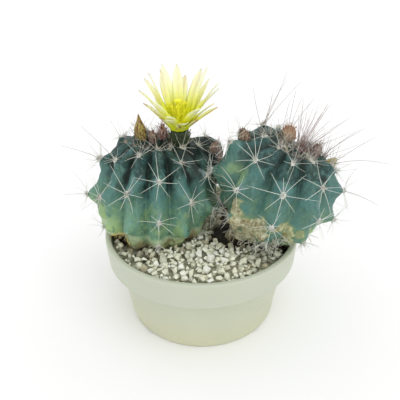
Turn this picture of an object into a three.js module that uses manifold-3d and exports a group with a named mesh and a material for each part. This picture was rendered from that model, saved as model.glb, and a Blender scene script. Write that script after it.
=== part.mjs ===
// A potted Texas barrel cactus with two heads: a low round pot with a collar, its soil, a top dressing of
// grit, two ribbed stems with their spines, an open yellow flower and the buds round the crowns.
// Millimetres, +Z up, with the front towards -Y. The origin is the centre of the pot's flat underside.
import * as THREE from "three";
import { mergeVertices } from "three/addons/utils/BufferGeometryUtils.js";
import Module from "manifold-3d";

const wasm = await Module();
wasm.setup();

// Driving dimensions

const SEAT_GAP = 0.4;
const GROWN_GAP = 0.35;

const POT = {
  rimRadius: 82.5,
  height: 78,
  lip: 5,
  collarHeight: 22.5,
  collarFoot: 81,
  shoulder: 73,
  baseRadius: 64.5,
  wall: 3.6,
  floor: 4.5,
  corner: 3,
  edge: 2.5,
  round: 1.6,
  step: 1.2,
  draft: 0.6,
  ledge: { above: 6, below: 2 },
  sides: 48,
};

const DRAIN = {
  holes: 6,
  holeRadius: 4,
  holeSides: 8,
  ring: 42,
  grooveWidth: 14,
  grooveSides: 24,
  depth: 1.6,
  channels: 4,
  channelWidth: 7,
};

const BED = { soilTop: 69.5, gritTop: 73.6, dome: 1.2 };

// The grit is packed chips on a honeycomb: each has a raised top of four corners over a six-cornered foot.
const STONE = { pitch: 10.8, topShare: 0.56, rise: 3.1, jitter: 1.5, valley: -0.8, tilt: 0.22, seed: 11 };

// Latitudes and azimuths are in degrees. Azimuth 0 faces the front and grows towards the right.
// rowLatitudes holds the areoles of an average rib, and ribShift moves each rib's own areoles up or down.
const LEFT_STEM = {
  centre: [-38, 8, 109],
  leanRight: 4,
  leanForward: 0,
  radius: 48,
  topHeight: 46,
  bottomDepth: 52,
  fullness: 0.75,
  lowFullness: 0.85,
  ribs: 13,
  firstRib: 6.5,
  ribDepth: 10.5,
  columnsPerRib: 4,
  crownDip: 7,
  nose: 6.2,
  noseWidth: 6.4,
  bulge: { azimuth: -84, latitude: -8, rise: 3 },
  rowLatitudes: [75, 55, 18, -17, -46],
  ribShift: [18, -3, 14, 2, -8, 6, 14, 0, -9, 5, -17, -7, 5],
  bareSoil: 3.5,
  shoulderSpine: 15,
  crownSpine: 26,
  seed: 5,
};

const RIGHT_STEM = {
  centre: [63, -13, 121.5],
  leanRight: 12,
  leanForward: 10.5,
  radius: 43.5,
  topHeight: 42,
  bottomDepth: 53,
  fullness: 0.75,
  lowFullness: 1.2,
  ribs: 9,
  firstRib: -12.4,
  ribDepth: 10,
  columnsPerRib: 6,
  crownDip: 5,
  nose: 5.5,
  noseWidth: 6.4,
  bulge: { azimuth: -108, latitude: 44, rise: 6 },
  rowLatitudes: [80, 60, 29, -3, -31],
  ribShift: [0, 10, -6, -10, 4, 9, -4, 6, 16],
  bareSoil: 5,
  shoulderSpine: 17,
  crownSpine: 34,
  seed: 9,
};

// The furrows and noses fade to a share of their depth low on a stem, and the noses also towards the poles.
const SKIN = {
  furrowPower: 1.5,
  furrowTaper: 0.7,
  lowFurrow: { share: 0.35, from: -50, to: 15 },
  lowNose: { share: 0.4, from: -35, to: -10 },
  poleNose: 0.45,
  dipFrom: 58,
  shiftFade: 35,
  bulgeSpread: 34,
};

// The skin's own latitude rows: those under the areoles, and the shares of a gap between two areole rows.
const ROWS = { foot: -80, footStep: 14, underAreoles: 8, crown: 84, wideGap: 26, narrowGap: 16 };

const ROOT = { radius: 11, tip: 3, length: 24, sides: 8, start: 0.8 };

// The plain round holes that the stems stand in, with the latitudes of their walls.
const HOLE = { sides: 20, latitudes: [-84, -70, -57, -44, -31, -18], noseShare: 0.5, bulgeShare: 0.7 };

// Each areole is a small knob with its spines drawn out of its faces: six round its flanks and one on top.
const AREOLE = { footRadius: 1, headRadius: 0.62, height: 1, sink: 0.2 };
const SPINE = {
  lowShare: 0.6,
  lift: 14,
  crownLift: 38,
  liftSpread: 6,
  steepest: 70,
  sway: 0.16,
  flankLength: [0.72, 1.05],
  centralLength: [1.1, 1.35],
  bend: 1.5,
  crownBend: 5,
  tries: 6,
  turnUp: 9,
  apart: 0.9,
};
const BENT = { share: 0.5, width: 0.55 };

// How far the spines stay from the pot's rim, the other stem, the flower and the buds.
const CLEAR = { rimSide: 3, rimTop: 2.5, stems: 0.03, flower: 2.5, flowerFlare: 1.25, bloom: 50, bud: 1.8 };

// The flower stands on an areole at the left stem's crown.
const FLOWER = {
  azimuth: 102,
  latitude: 63,
  leanRight: -1,
  leanForward: 2,
  tubeLength: 13,
  tubeRadius: 7.2,
  tubeSink: 4,
  throatRadius: 6,
  cupRadius: 10.5,
  cupDepth: 9,
  cupWall: 1.1,
  cupFloor: 1.4,
  socketFlare: 2,
  scales: 8,
  scaleLength: 5.5,
  scaleRadius: 1.5,
};

// The outer, middle and inner petals: spread is their lean from upright, seat their height on the funnel.
const PETAL_LAYERS = [
  { count: 9, spread: 56, length: 30, width: 4.6, turn: 8, seat: 0.55 },
  { count: 10, spread: 37, length: 39, width: 6.4, turn: 3, seat: 0.72 },
  { count: 10, spread: 18, length: 41, width: 6.8, turn: 20, seat: 0.9 },
];
const PETAL = { keel: 1.1, bowIn: 9, bowOut: 4, unevenness: 4, turnSpread: 3, seed: 3 };

const STAMEN = {
  count: 10,
  length: 11,
  spread: 26,
  radius: 0.7,
  anther: 1.3,
  styleLength: 17,
  styleRadius: 1.2,
  lobes: 6,
  lobeLength: 4,
  lobeRadius: 0.9,
};

// Each bud sits on the skin of a stem: tall pointed ones that will open, and withered ones that have closed.
const BUDS = [
  { name: "bud_tall", stem: "left", azimuth: -130, latitude: 70, length: 25, radius: 4.4, lean: 0 },
  { name: "bud_scaly", stem: "left", azimuth: -156, latitude: 75, length: 12, radius: 3.6, lean: 0 },
  { name: "bud_grey", stem: "left", azimuth: 162, latitude: 72, length: 17, radius: 4, lean: 0 },
  { name: "bud_side", stem: "left", azimuth: 96, latitude: 40, length: 10, radius: 3.8, lean: 24 },
  { name: "bud_withered", stem: "right", azimuth: -170, latitude: 72, length: 13, radius: 4.6, lean: 0 },
  { name: "bud_woolly", stem: "right", azimuth: 118, latitude: 62, length: 13, radius: 4.2, lean: 16 },
  { name: "bud_fruit", stem: "right", azimuth: 104, latitude: 34, length: 10, radius: 3.8, lean: 38 },
  { name: "bud_brown", stem: "right", azimuth: -102, latitude: 45, length: 16, radius: 4.4, lean: 12 },
];

// Every other side of a bud stands out by its step, and rise is how far it turns upright from the skin.
const BUD_SHAPE = { sides: 6, sink: 3, rise: 0.85, step: 1.15 };

// Lumps of old cork at the right stem's foot: azimuth, latitude, radius and how far each stands out.
const CORK_LUMPS = [
  [-62, -20, 9, 2],
  [-44, -34, 11, 3],
  [-22, -42, 10, 3],
  [-70, -44, 9, 2],
  [2, -46, 9, 2],
  [-52, -6, 6, 1],
];

const COLOURS = {
  pot: [0xc4c9b2, 0.55],
  soil: [0x3f3a2c, 0.95],
  grit: [0xbcc0ac, 0.9],
  skin: [0x446a64, 0.5],
  petal: [0xeef06a, 0.45],
  tube: [0x5b6b3a, 0.6],
  stamen: [0xf0e23a, 0.6],
  bud: [0x8a6a4c, 0.7],
};

// Small helpers

const MERGE_DISTANCE = 1e-3;
const radians = THREE.MathUtils.degToRad;
const vector = (x, y, z) => new THREE.Vector3(x, y, z);

// Returns a function that draws numbers between two limits, the same ones on every run.
function seededDraw(seed) {
  let state = seed * 2654435761;
  return (low, high) => {
    state = (Math.imul(state ^ (state >>> 15), 2246822519) + 3266489917) >>> 0;
    return low + ((high - low) * state) / 4294967296;
  };
}

// A closed three.js geometry as a solid that can be joined and cut, with its faces turned out.
function solidOf(geometry) {
  const bare = geometry.clone();
  bare.deleteAttribute("normal");
  bare.deleteAttribute("uv");
  const merged = mergeVertices(bare, MERGE_DISTANCE);
  const corners = merged.index.array;
  const kept = [];
  for (let i = 0; i < corners.length; i += 3) {
    const [a, b, c] = [corners[i], corners[i + 1], corners[i + 2]];
    if (a !== b && b !== c && a !== c) kept.push(a, b, c);
  }
  const build = (order) =>
    new wasm.Manifold(
      new wasm.Mesh({
        numProp: 3,
        vertProperties: merged.attributes.position.array,
        triVerts: new Uint32Array(order),
      }),
    );
  const solid = build(kept);
  if (solid.volume() > 0) return solid;
  return build(kept.reverse());
}

function geometryOf(solid) {
  const { numProp, vertProperties, triVerts } = solid.getMesh();
  const geometry = new THREE.BufferGeometry();
  geometry.setAttribute("position", new THREE.BufferAttribute(vertProperties, numProp));
  return geometry.setIndex(new THREE.BufferAttribute(triVerts, 1));
}

// The solid's largest body once close corners are merged, without the scraps that a cut can leave.
function largestBody(solid) {
  const bodies = solidOf(geometryOf(solid)).decompose();
  return bodies.reduce((best, body) => (body.volume() > best.volume() ? body : best));
}

// A named mesh with a material of its own, from a solid.
function meshOf(name, solid, [colour, roughness]) {
  const geometry = geometryOf(solid);
  geometry.computeVertexNormals();
  const finish = { color: colour, roughness, metalness: 0, flatShading: true };
  const mesh = new THREE.Mesh(geometry, new THREE.MeshStandardMaterial(finish));
  mesh.name = name;
  return mesh;
}

const moved = (solid, matrix) => solid.transform(matrix.elements);
const join = (solids) => wasm.Manifold.union(solids);

const sumOf = (points) => points.reduce((sum, point) => sum.add(point), vector(0, 0, 0));
const middleOf = (points) => sumOf(points).divideScalar(points.length);
const around = (count, make) => Array.from({ length: count }, (_, i) => make((i / count) * 2 * Math.PI, i));

function solidOfFaces({ points, faces }) {
  const geometry = new THREE.BufferGeometry().setFromPoints(points);
  return solidOf(geometry.setIndex(faces));
}

// The faces over rings of points. Each end closes on the ring's middle, or on the ring's only point.
function loftFaces(rings) {
  const points = rings.flat();
  const faces = [];
  const starts = rings.map((_, k) => rings.slice(0, k).reduce((sum, ring) => sum + ring.length, 0));
  const capCentre = (ring) => points.push(middleOf(ring)) - 1;
  const fan = (ring, start, centre, turned) => {
    for (let i = 0; i < ring.length; i += 1) {
      const next = start + ((i + 1) % ring.length);
      if (turned) faces.push(centre, next, start + i);
      else faces.push(centre, start + i, next);
    }
  };
  for (let k = 0; k + 1 < rings.length; k += 1) {
    const [lower, upper] = [rings[k], rings[k + 1]];
    const [a, b] = [starts[k], starts[k + 1]];
    if (lower.length === 1) fan(upper, b, a, true);
    else if (upper.length === 1) fan(lower, a, b, false);
    else {
      for (let i = 0; i < lower.length; i += 1) {
        const next = (i + 1) % lower.length;
        faces.push(a + i, a + next, b + next, a + i, b + next, b + i);
      }
    }
  }
  const last = rings.length - 1;
  if (rings[0].length > 1) fan(rings[0], starts[0], capCentre(rings[0]), true);
  if (rings[last].length > 1) fan(rings[last], starts[last], capCentre(rings[last]), false);
  return { points, faces };
}

const loft = (rings) => solidOfFaces(loftFaces(rings));

// A turned solid about +Z from a profile of radius and height pairs.
function turned(profile, sides) {
  const points = profile.map(([radius, height]) => new THREE.Vector2(radius, height));
  return solidOf(new THREE.LatheGeometry(points, sides).rotateX(Math.PI / 2));
}

// A slim three-sided spike from its root along a direction.
function spike(root, direction, length, radius) {
  const along = direction.clone().normalize();
  const side = Math.abs(along.z) < 0.9 ? vector(0, 0, 1).cross(along).normalize() : vector(1, 0, 0);
  const other = along.clone().cross(side);
  const foot = around(3, (angle) =>
    root
      .clone()
      .addScaledVector(side, radius * Math.cos(angle))
      .addScaledVector(other, radius * Math.sin(angle)),
  );
  return loft([foot, [root.clone().addScaledVector(along, length)]]);
}

// The pot

const COLLAR_BOTTOM = POT.height - POT.collarHeight;

function potSolid() {
  const { rimRadius, height, collarFoot, shoulder, baseRadius, wall, floor, corner, edge, round, step } = POT;
  const innerRim = rimRadius - POT.lip;
  const slope = (shoulder - baseRadius) / COLLAR_BOTTOM;
  const profile = [
    [0, 0],
    [baseRadius - edge, 0],
    [baseRadius - edge * 0.3, edge * 0.3],
    [baseRadius + edge * slope, edge],
    [shoulder, COLLAR_BOTTOM + step],
    [collarFoot - step, COLLAR_BOTTOM],
    [collarFoot, COLLAR_BOTTOM + step],
    [rimRadius, height - round],
    [rimRadius - round, height],
    [innerRim + round, height],
    [innerRim, height - round],
    [innerRim - POT.draft, COLLAR_BOTTOM + POT.ledge.above],
    [shoulder - wall, COLLAR_BOTTOM - POT.ledge.below],
    [baseRadius - wall, floor + corner],
    [baseRadius - wall - corner, floor],
    [0, floor],
  ];
  return turned(profile, POT.sides).subtract(join(drainCuts()));
}

// What drains the pot: a shallow ring groove underneath, channels out of it, and holes up into the soil.
function drainCuts() {
  const { holeRadius, holeSides, ring, grooveWidth, grooveSides, depth, channels, channelWidth } = DRAIN;
  const [inner, outer] = [ring - grooveWidth / 2, ring + grooveWidth / 2];
  const groove = turned(
    [
      [inner, -1],
      [outer, -1],
      [outer, depth],
      [inner, depth],
      [inner, -1],
    ],
    grooveSides,
  );
  const hole = new THREE.CylinderGeometry(holeRadius, holeRadius, POT.floor * 3, holeSides);
  const reach = POT.baseRadius + POT.edge - ring;
  const channel = new THREE.BoxGeometry(reach, channelWidth, 2 * depth).translate(ring + reach / 2, 0, 0);
  const turnedTo = (geometry, angle) => solidOf(geometry.clone().rotateZ(angle));
  hole.rotateX(Math.PI / 2).translate(ring, 0, 0);
  return [
    groove,
    ...around(DRAIN.holes, (angle) => turnedTo(hole, angle)),
    ...around(channels, (angle) => turnedTo(channel, angle + Math.PI / channels)),
  ];
}

// A stem's skin

// The stem's own frame: its axis along +Z, its front along -Y, and its centre at the origin.
function stemMatrix(stem) {
  const up = vector(Math.tan(radians(stem.leanRight)), -Math.tan(radians(stem.leanForward)), 1).normalize();
  const back = vector(0, 1, 0).addScaledVector(up, -up.y).normalize();
  const side = back.clone().cross(up);
  return new THREE.Matrix4().makeBasis(side, back, up).setPosition(...stem.centre);
}

const outward = (azimuth, latitude) =>
  vector(
    Math.cos(radians(latitude)) * Math.sin(radians(azimuth)),
    -Math.cos(radians(latitude)) * Math.cos(radians(azimuth)),
    Math.sin(radians(latitude)),
  );

const ribAzimuth = (stem, rib) => stem.firstRib + (rib * 360) / stem.ribs;

// Where a latitude row lies at this azimuth: each rib shifts it by its own amount, less towards the poles.
function shiftedLatitude(stem, rowLatitude, azimuth) {
  const along = (azimuth - stem.firstRib) / (360 / stem.ribs);
  const rib = Math.floor(along);
  const share = along - rib;
  const wrap = (index) => stem.ribShift[((index % stem.ribs) + stem.ribs) % stem.ribs];
  const eased = share * share * (3 - 2 * share);
  const shift = wrap(rib) * (1 - eased) + wrap(rib + 1) * eased;
  const fade = Math.min(1, (90 - Math.abs(rowLatitude)) / SKIN.shiftFade);
  return rowLatitude + shift * fade;
}

// The radius of a rib's crest at a latitude, without the noses.
const crestRadius = (stem, latitude) =>
  stem.radius * Math.cos(radians(latitude)) ** (latitude > 0 ? stem.fullness : stem.lowFullness);

// How far the stem bulges to one side here, since neither stem grew quite round.
function bulgeAt({ bulge }, azimuth, latitude) {
  const turn = THREE.MathUtils.euclideanModulo(azimuth - bulge.azimuth + 180, 360) - 180;
  const apart = (turn * Math.cos(radians(latitude))) ** 2 + (latitude - bulge.latitude) ** 2;
  return bulge.rise * Math.exp(-apart / SKIN.bulgeSpread ** 2);
}

// A share that eases up to 1 between two latitudes.
const fadedShare = ({ share, from, to }, latitude) =>
  share + (1 - share) * THREE.MathUtils.smoothstep(latitude, from, to);

// A point of the stem's skin. nearness is how close to an areole's row it lies, from 0 to 1.
function skinPoint(stem, azimuth, latitude, nearness) {
  const step = 360 / stem.ribs;
  const fromCrest = (((azimuth - stem.firstRib) % step) + step * 1.5) % step - step / 2;
  const across = (2 * fromCrest) / step;
  const [cosine, sine] = [Math.cos(radians(latitude)), Math.sin(radians(latitude))];
  const furrowShape = cosine ** SKIN.furrowTaper * Math.abs(across) ** SKIN.furrowPower;
  const furrow = stem.ribDepth * furrowShape * fadedShare(SKIN.lowFurrow, latitude);
  const sideways = radians(fromCrest) * stem.radius * cosine;
  const noseShare = (SKIN.poleNose + (1 - SKIN.poleNose) * cosine) * fadedShare(SKIN.lowNose, latitude);
  const nose = stem.nose * nearness * Math.exp(-((sideways / stem.noseWidth) ** 2)) * noseShare;
  const radius = crestRadius(stem, latitude) - furrow + nose * cosine;
  const half = (sine > 0 ? stem.topHeight : stem.bottomDepth) + nose;
  const height = half * sine - stem.crownDip * THREE.MathUtils.smoothstep(latitude, SKIN.dipFrom, 90);
  const heading = radians(azimuth);
  const swell = bulgeAt(stem, azimuth, latitude);
  const point = vector(radius * Math.sin(heading), -radius * Math.cos(heading), height);
  return point.addScaledVector(outward(azimuth, latitude), swell);
}

// Latitude rows from the foot to the crown, with how near each lies to a row of areoles.
function skinRows(stem) {
  const rows = [];
  const areoleRows = [...stem.rowLatitudes].reverse();
  const lowest = areoleRows[0] - ROWS.underAreoles;
  for (let latitude = ROWS.foot; latitude < lowest - 5; latitude += ROWS.footStep) rows.push([latitude, 0]);
  rows.push([lowest, 0.15]);
  areoleRows.forEach((latitude, i) => {
    const gap = (areoleRows[i + 1] ?? ROWS.crown) - latitude;
    const add = (share, nearness) => rows.push([latitude + share * gap, nearness]);
    add(0, 1);
    if (gap > ROWS.wideGap) {
      add(0.18, 0.42);
      add(0.5, 0);
      add(0.8, 0.36);
    } else if (gap > ROWS.narrowGap) {
      add(0.33, 0.2);
      add(0.67, 0.2);
    } else {
      add(0.5, 0.1);
    }
  });
  return rows;
}

// The skin's corners and faces, with a corner on each areole.
function skinFaces(stem) {
  const columns = stem.ribs * stem.columnsPerRib;
  const ringAt = ([rowLatitude, nearness]) =>
    Array.from({ length: columns }, (_, i) => {
      const azimuth = stem.firstRib + (i * 360) / columns;
      return skinPoint(stem, azimuth, shiftedLatitude(stem, rowLatitude, azimuth), nearness);
    });
  const foot = [vector(0, 0, -stem.bottomDepth)];
  const crown = [vector(0, 0, stem.topHeight - stem.crownDip)];
  return loftFaces([foot, ...skinRows(stem).map(ringAt), crown]);
}

// The tapered root that stands in the soil, straight down from the stem's foot.
function rootSolid(stem, grow = 0) {
  const top = -stem.bottomDepth * ROOT.start;
  const tip = -stem.bottomDepth - ROOT.length - grow;
  const profile = [
    [0, tip],
    [ROOT.tip + grow, tip],
    [ROOT.radius + grow, top],
    [0, top],
  ];
  return turned(profile, ROOT.sides);
}

// Every areole of the stem, with its place and its outward, upward and sideways directions.
function areolesOf(stem) {
  const found = [];
  for (let rib = 0; rib < stem.ribs; rib += 1) {
    stem.rowLatitudes.forEach((rowLatitude, row) => {
      const azimuth = ribAzimuth(stem, rib);
      const latitude = shiftedLatitude(stem, rowLatitude, azimuth);
      const out = outward(azimuth, latitude);
      const side = vector(Math.cos(radians(azimuth)), Math.sin(radians(azimuth)), 0);
      const up = out.clone().cross(side);
      found.push({ row, place: skinPoint(stem, azimuth, latitude, 1), out, side, up });
    });
  }
  return found;
}

function corkSolids(stem) {
  return CORK_LUMPS.map(([azimuth, latitude, radius, standing]) => {
    const seat = skinPoint(stem, azimuth, latitude, 0);
    seat.addScaledVector(outward(azimuth, latitude), standing - radius / 2);
    const lump = new THREE.IcosahedronGeometry(radius, 0).scale(1, 1, 0.8).rotateZ(radians(azimuth));
    return solidOf(lump.translate(seat.x, seat.y, seat.z));
  });
}

// The bed of soil and grit

const BED_RADIUS = POT.rimRadius - POT.lip - POT.draft - SEAT_GAP;

// The soil's own outline, which follows the inside of the pot.
function soilProfile() {
  const bottom = POT.floor + SEAT_GAP;
  const foot = POT.baseRadius - POT.wall - SEAT_GAP;
  return [
    [0, bottom],
    [foot - POT.corner, bottom],
    [foot, bottom + POT.corner],
    [POT.shoulder - POT.wall - SEAT_GAP, COLLAR_BOTTOM - POT.ledge.below],
    [BED_RADIUS, COLLAR_BOTTOM + POT.ledge.above],
    [BED_RADIUS, BED.soilTop],
    [0, BED.soilTop + BED.dome],
  ];
}

// The round block that the grit is cut from, with a domed underside on the soil.
function gritProfile() {
  const bottom = BED.soilTop + SEAT_GAP;
  const top = BED.gritTop + STONE.rise * 2;
  return [
    [0, bottom + BED.dome],
    [BED_RADIUS, bottom],
    [BED_RADIUS, top],
    [0, top],
  ];
}

// The plain round hole that a stem and its root stand in, clear of the crests of the ribs.
function holeSolid(stem) {
  const widen = 1 / Math.cos(Math.PI / HOLE.sides);
  const wall = HOLE.latitudes.map((latitude) => {
    const cosine = Math.cos(radians(latitude));
    const swell = (stem.nose * HOLE.noseShare + stem.bulge.rise * HOLE.bulgeShare) * cosine;
    const height = (stem.bottomDepth + stem.nose * cosine) * Math.sin(radians(latitude));
    return [(crestRadius(stem, latitude) + swell + SEAT_GAP) * widen, height];
  });
  const bottom = -stem.bottomDepth - 1 - SEAT_GAP;
  const profile = [[0, bottom], [wall[0][0], bottom], ...wall, [0, wall[wall.length - 1][1]]];
  return moved(join([turned(profile, HOLE.sides), rootSolid(stem, SEAT_GAP)]), stemMatrix(stem));
}

const holes = () => join([LEFT_STEM, RIGHT_STEM].map(holeSolid));

function soilSolid() {
  return largestBody(turned(soilProfile(), POT.sides).subtract(holes()));
}

// The upright hole in the grit round a stem's foot, which leaves a ring of bare soil.
function bareRing(stem) {
  const drop = BED.gritTop - stem.centre[2];
  const latitude = Math.asin(Math.max(-1, drop / stem.bottomDepth));
  const crest = crestRadius(stem, THREE.MathUtils.radToDeg(latitude));
  const reach = Math.max(ROOT.radius, crest) + stem.bareSoil;
  const ring = new THREE.CylinderGeometry(reach, reach, POT.height, HOLE.sides).rotateX(Math.PI / 2);
  const x = stem.centre[0] + drop * Math.tan(radians(stem.leanRight));
  const y = stem.centre[1] - drop * Math.tan(radians(stem.leanForward));
  return solidOf(ring.translate(x, y, POT.height));
}

// Packed chips as one relief, cut to the round of the pot and opened round the stems.
function gritSolid() {
  const round = turned(gritProfile(), POT.sides);
  const open = join([holes(), bareRing(LEFT_STEM), bareRing(RIGHT_STEM)]);
  return largestBody(round.intersect(chipRelief()).subtract(open));
}

// A honeycomb of chips: every cell's foot shares its corners with its neighbours, and its top stands free.
function chipRelief() {
  const draw = seededDraw(STONE.seed);
  const points = [];
  const faces = [];
  const reach = STONE.pitch / Math.sqrt(3);
  const feet = new Map();
  const footAt = (x, y) => {
    const key = `${Math.round(x * 10)},${Math.round(y * 10)}`;
    if (!feet.has(key)) {
      const [shiftX, shiftY] = [draw(-1, 1) * STONE.jitter, draw(-1, 1) * STONE.jitter];
      const top = vector(x + shiftX, y + shiftY, BED.gritTop + STONE.valley * draw(0, 1));
      const under = vector(top.x, top.y, 0);
      feet.set(key, { top: points.push(top) - 1, under: points.push(under) - 1 });
    }
    return feet.get(key);
  };
  const rim = new Map();
  const cells = Math.ceil((POT.rimRadius + STONE.pitch) / STONE.pitch);
  for (let row = -cells; row <= cells; row += 1) {
    for (let column = -cells; column <= cells; column += 1) {
      const centre = vector((column + row / 2) * STONE.pitch, (row * STONE.pitch * Math.sqrt(3)) / 2, 0);
      if (centre.length() > POT.rimRadius + STONE.pitch) continue;
      const feetRound = around(6, (angle) =>
        footAt(centre.x - Math.sin(angle) * reach, centre.y + Math.cos(angle) * reach),
      );
      const foot = feetRound.map((corner) => corner.top);
      const under = feetRound.map((corner) => corner.under);
      const top = chipTop(centre, draw).map((point) => points.push(point) - 1);
      faces.push(...ringFaces(foot, top), top[0], top[1], top[2], top[0], top[2], top[3]);
      for (let i = 1; i < 5; i += 1) faces.push(under[0], under[i + 1], under[i]);
      feetRound.forEach((from, i) => {
        const to = feetRound[(i + 1) % 6];
        if (rim.has(`${to.top}-${from.top}`)) rim.delete(`${to.top}-${from.top}`);
        else rim.set(`${from.top}-${to.top}`, [from, to]);
      });
    }
  }
  rim.forEach(([from, to]) => faces.push(from.top, from.under, to.top, from.under, to.under, to.top));
  return solidOfFaces({ points, faces });
}

// The four raised corners of one chip, turned at random and tilted a little.
function chipTop(centre, draw) {
  const turn = draw(0, Math.PI / 2);
  const tilt = [draw(-STONE.tilt, STONE.tilt), draw(-STONE.tilt, STONE.tilt)];
  return around(4, (angle) => {
    const reach = (STONE.pitch / 2) * STONE.topShare * draw(0.8, 1.2);
    const [x, y] = [reach * Math.cos(turn + angle), reach * Math.sin(turn + angle)];
    const rise = STONE.rise * draw(0.8, 1.1) + tilt[0] * x + tilt[1] * y;
    return vector(centre.x + x, centre.y + y, BED.gritTop + rise);
  });
}

// The faces between an outer ring of six corners and an inner ring of four, joined at the nearest angles.
function ringFaces(outer, inner) {
  const faces = [];
  let [i, k] = [0, 0];
  while (i < outer.length || k < inner.length) {
    const takeOuter = k >= inner.length || (i < outer.length && i / outer.length <= k / inner.length);
    const [a, b] = [outer[i % outer.length], inner[k % inner.length]];
    if (takeOuter) faces.push(a, outer[(i + 1) % outer.length], b);
    else faces.push(a, inner[(k + 1) % inner.length], b);
    if (takeOuter) i += 1;
    else k += 1;
  }
  return faces;
}

// Buds and the flower stand on the stems

const STEMS = { left: LEFT_STEM, right: RIGHT_STEM };

// The frame of a piece that grows from the skin: it starts sunk in the skin and turns upright by its rise.
function growthMatrix(stem, azimuth, latitude, sink, rise, leanOut) {
  const matrix = stemMatrix(stem);
  const out = outward(azimuth, latitude);
  const seat = skinPoint(stem, azimuth, latitude, 0).addScaledVector(out, -sink).applyMatrix4(matrix);
  const skinWay = out.clone().transformDirection(matrix);
  const level = vector(skinWay.x, skinWay.y, 0).normalize();
  const wanted = vector(0, 0, 1).addScaledVector(level, Math.tan(radians(leanOut)));
  const up = skinWay.lerp(wanted.normalize(), rise).normalize();
  const back = vector(0, 1, 0).addScaledVector(up, -up.y).normalize();
  return new THREE.Matrix4().makeBasis(back.clone().cross(up), back, up).setPosition(seat);
}

const budMatrix = (bud) =>
  growthMatrix(STEMS[bud.stem], bud.azimuth, bud.latitude, BUD_SHAPE.sink, BUD_SHAPE.rise, bud.lean);

// The plain round hollow in a stem that a bud stands in.
function budSocket(bud) {
  const radius = bud.radius * BUD_SHAPE.step + GROWN_GAP;
  const profile = [
    [0, -GROWN_GAP],
    [radius, -GROWN_GAP],
    [radius, bud.length],
    [0, bud.length],
  ];
  return turned(profile, 8);
}

// A pointed bud wrapped in overlapping scales, which raise its surface in rows. Each row of the list is a
// share of the length, a share of the radius and a turn by half a side.
function budSolid(bud) {
  const { sides, step } = BUD_SHAPE;
  const rows = [
    [0, 0.55, 0],
    [0.16, 0.86, 0],
    [0.3, 1, 0.5],
    [0.36, 0.84, 0],
    [0.54, 0.9, 0.5],
    [0.6, 0.66, 0],
    [0.78, 0.56, 0.5],
    [0.84, 0.34, 0],
  ];
  const rings = rows.map(([share, width, turn]) =>
    around(sides, (angle, i) => {
      const heading = angle + (turn / sides) * 2 * Math.PI;
      const radius = bud.radius * width * (i % 2 === 0 ? step : 1);
      return vector(radius * Math.cos(heading), radius * Math.sin(heading), share * bud.length);
    }),
  );
  return loft([...rings, [vector(0, 0, bud.length)]]);
}

function flowerMatrix() {
  const { azimuth, latitude, tubeSink, leanRight, leanForward } = FLOWER;
  const seat = skinPoint(LEFT_STEM, azimuth, latitude, 0)
    .addScaledVector(outward(azimuth, latitude), -tubeSink)
    .applyMatrix4(stemMatrix(LEFT_STEM));
  const up = vector(Math.tan(radians(leanRight)), -Math.tan(radians(leanForward)), 1).normalize();
  const back = vector(0, 1, 0).addScaledVector(up, -up.y).normalize();
  return new THREE.Matrix4().makeBasis(back.clone().cross(up), back, up).setPosition(seat);
}

// The hollow in the stem that the flower's tube stands in, flared to clear its scales.
function tubeSocket() {
  const { tubeLength, tubeRadius, socketFlare } = FLOWER;
  const profile = [
    [0, -GROWN_GAP],
    [tubeRadius * 0.75 + GROWN_GAP, -GROWN_GAP],
    [tubeRadius + socketFlare, tubeLength * 0.35],
    [tubeRadius + socketFlare, tubeLength],
    [0, tubeLength],
  ];
  return turned(profile, 12);
}

// The green tube under the petals, with its small scales.
function tubeSolid() {
  const { tubeLength, tubeRadius, throatRadius, scales, scaleLength, scaleRadius } = FLOWER;
  const body = turned(
    [
      [0, 0],
      [tubeRadius * 0.7, 0],
      [tubeRadius, tubeLength * 0.35],
      [tubeRadius * 0.95, tubeLength * 0.6],
      [throatRadius, tubeLength],
      [0, tubeLength],
    ],
    12,
  );
  const leaves = Array.from({ length: scales }, (_, i) => {
    const angle = i * Math.PI * (3 - Math.sqrt(5));
    const height = tubeLength * (0.36 + (0.34 * i) / scales);
    const root = vector(Math.cos(angle), Math.sin(angle), 0).multiplyScalar(tubeRadius * 0.86).setZ(height);
    const way = vector(0.5 * Math.cos(angle), 0.5 * Math.sin(angle), 1);
    return spike(root, way, scaleLength, scaleRadius);
  });
  return join([body, ...leaves]);
}

// Where the petals start: the height of the tube's mouth above the flower's seat.
const CUP_BASE = FLOWER.tubeLength + SEAT_GAP;

// The funnel that the petals grow from, open at the top.
function cupSolid() {
  const { throatRadius, cupRadius, cupDepth, cupWall, cupFloor } = FLOWER;
  return turned(
    [
      [0, CUP_BASE],
      [throatRadius, CUP_BASE],
      [cupRadius, CUP_BASE + cupDepth],
      [cupRadius - cupWall, CUP_BASE + cupDepth],
      [throatRadius - cupWall, CUP_BASE + cupFloor],
      [0, CUP_BASE + cupFloor],
    ],
    20,
  );
}

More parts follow.
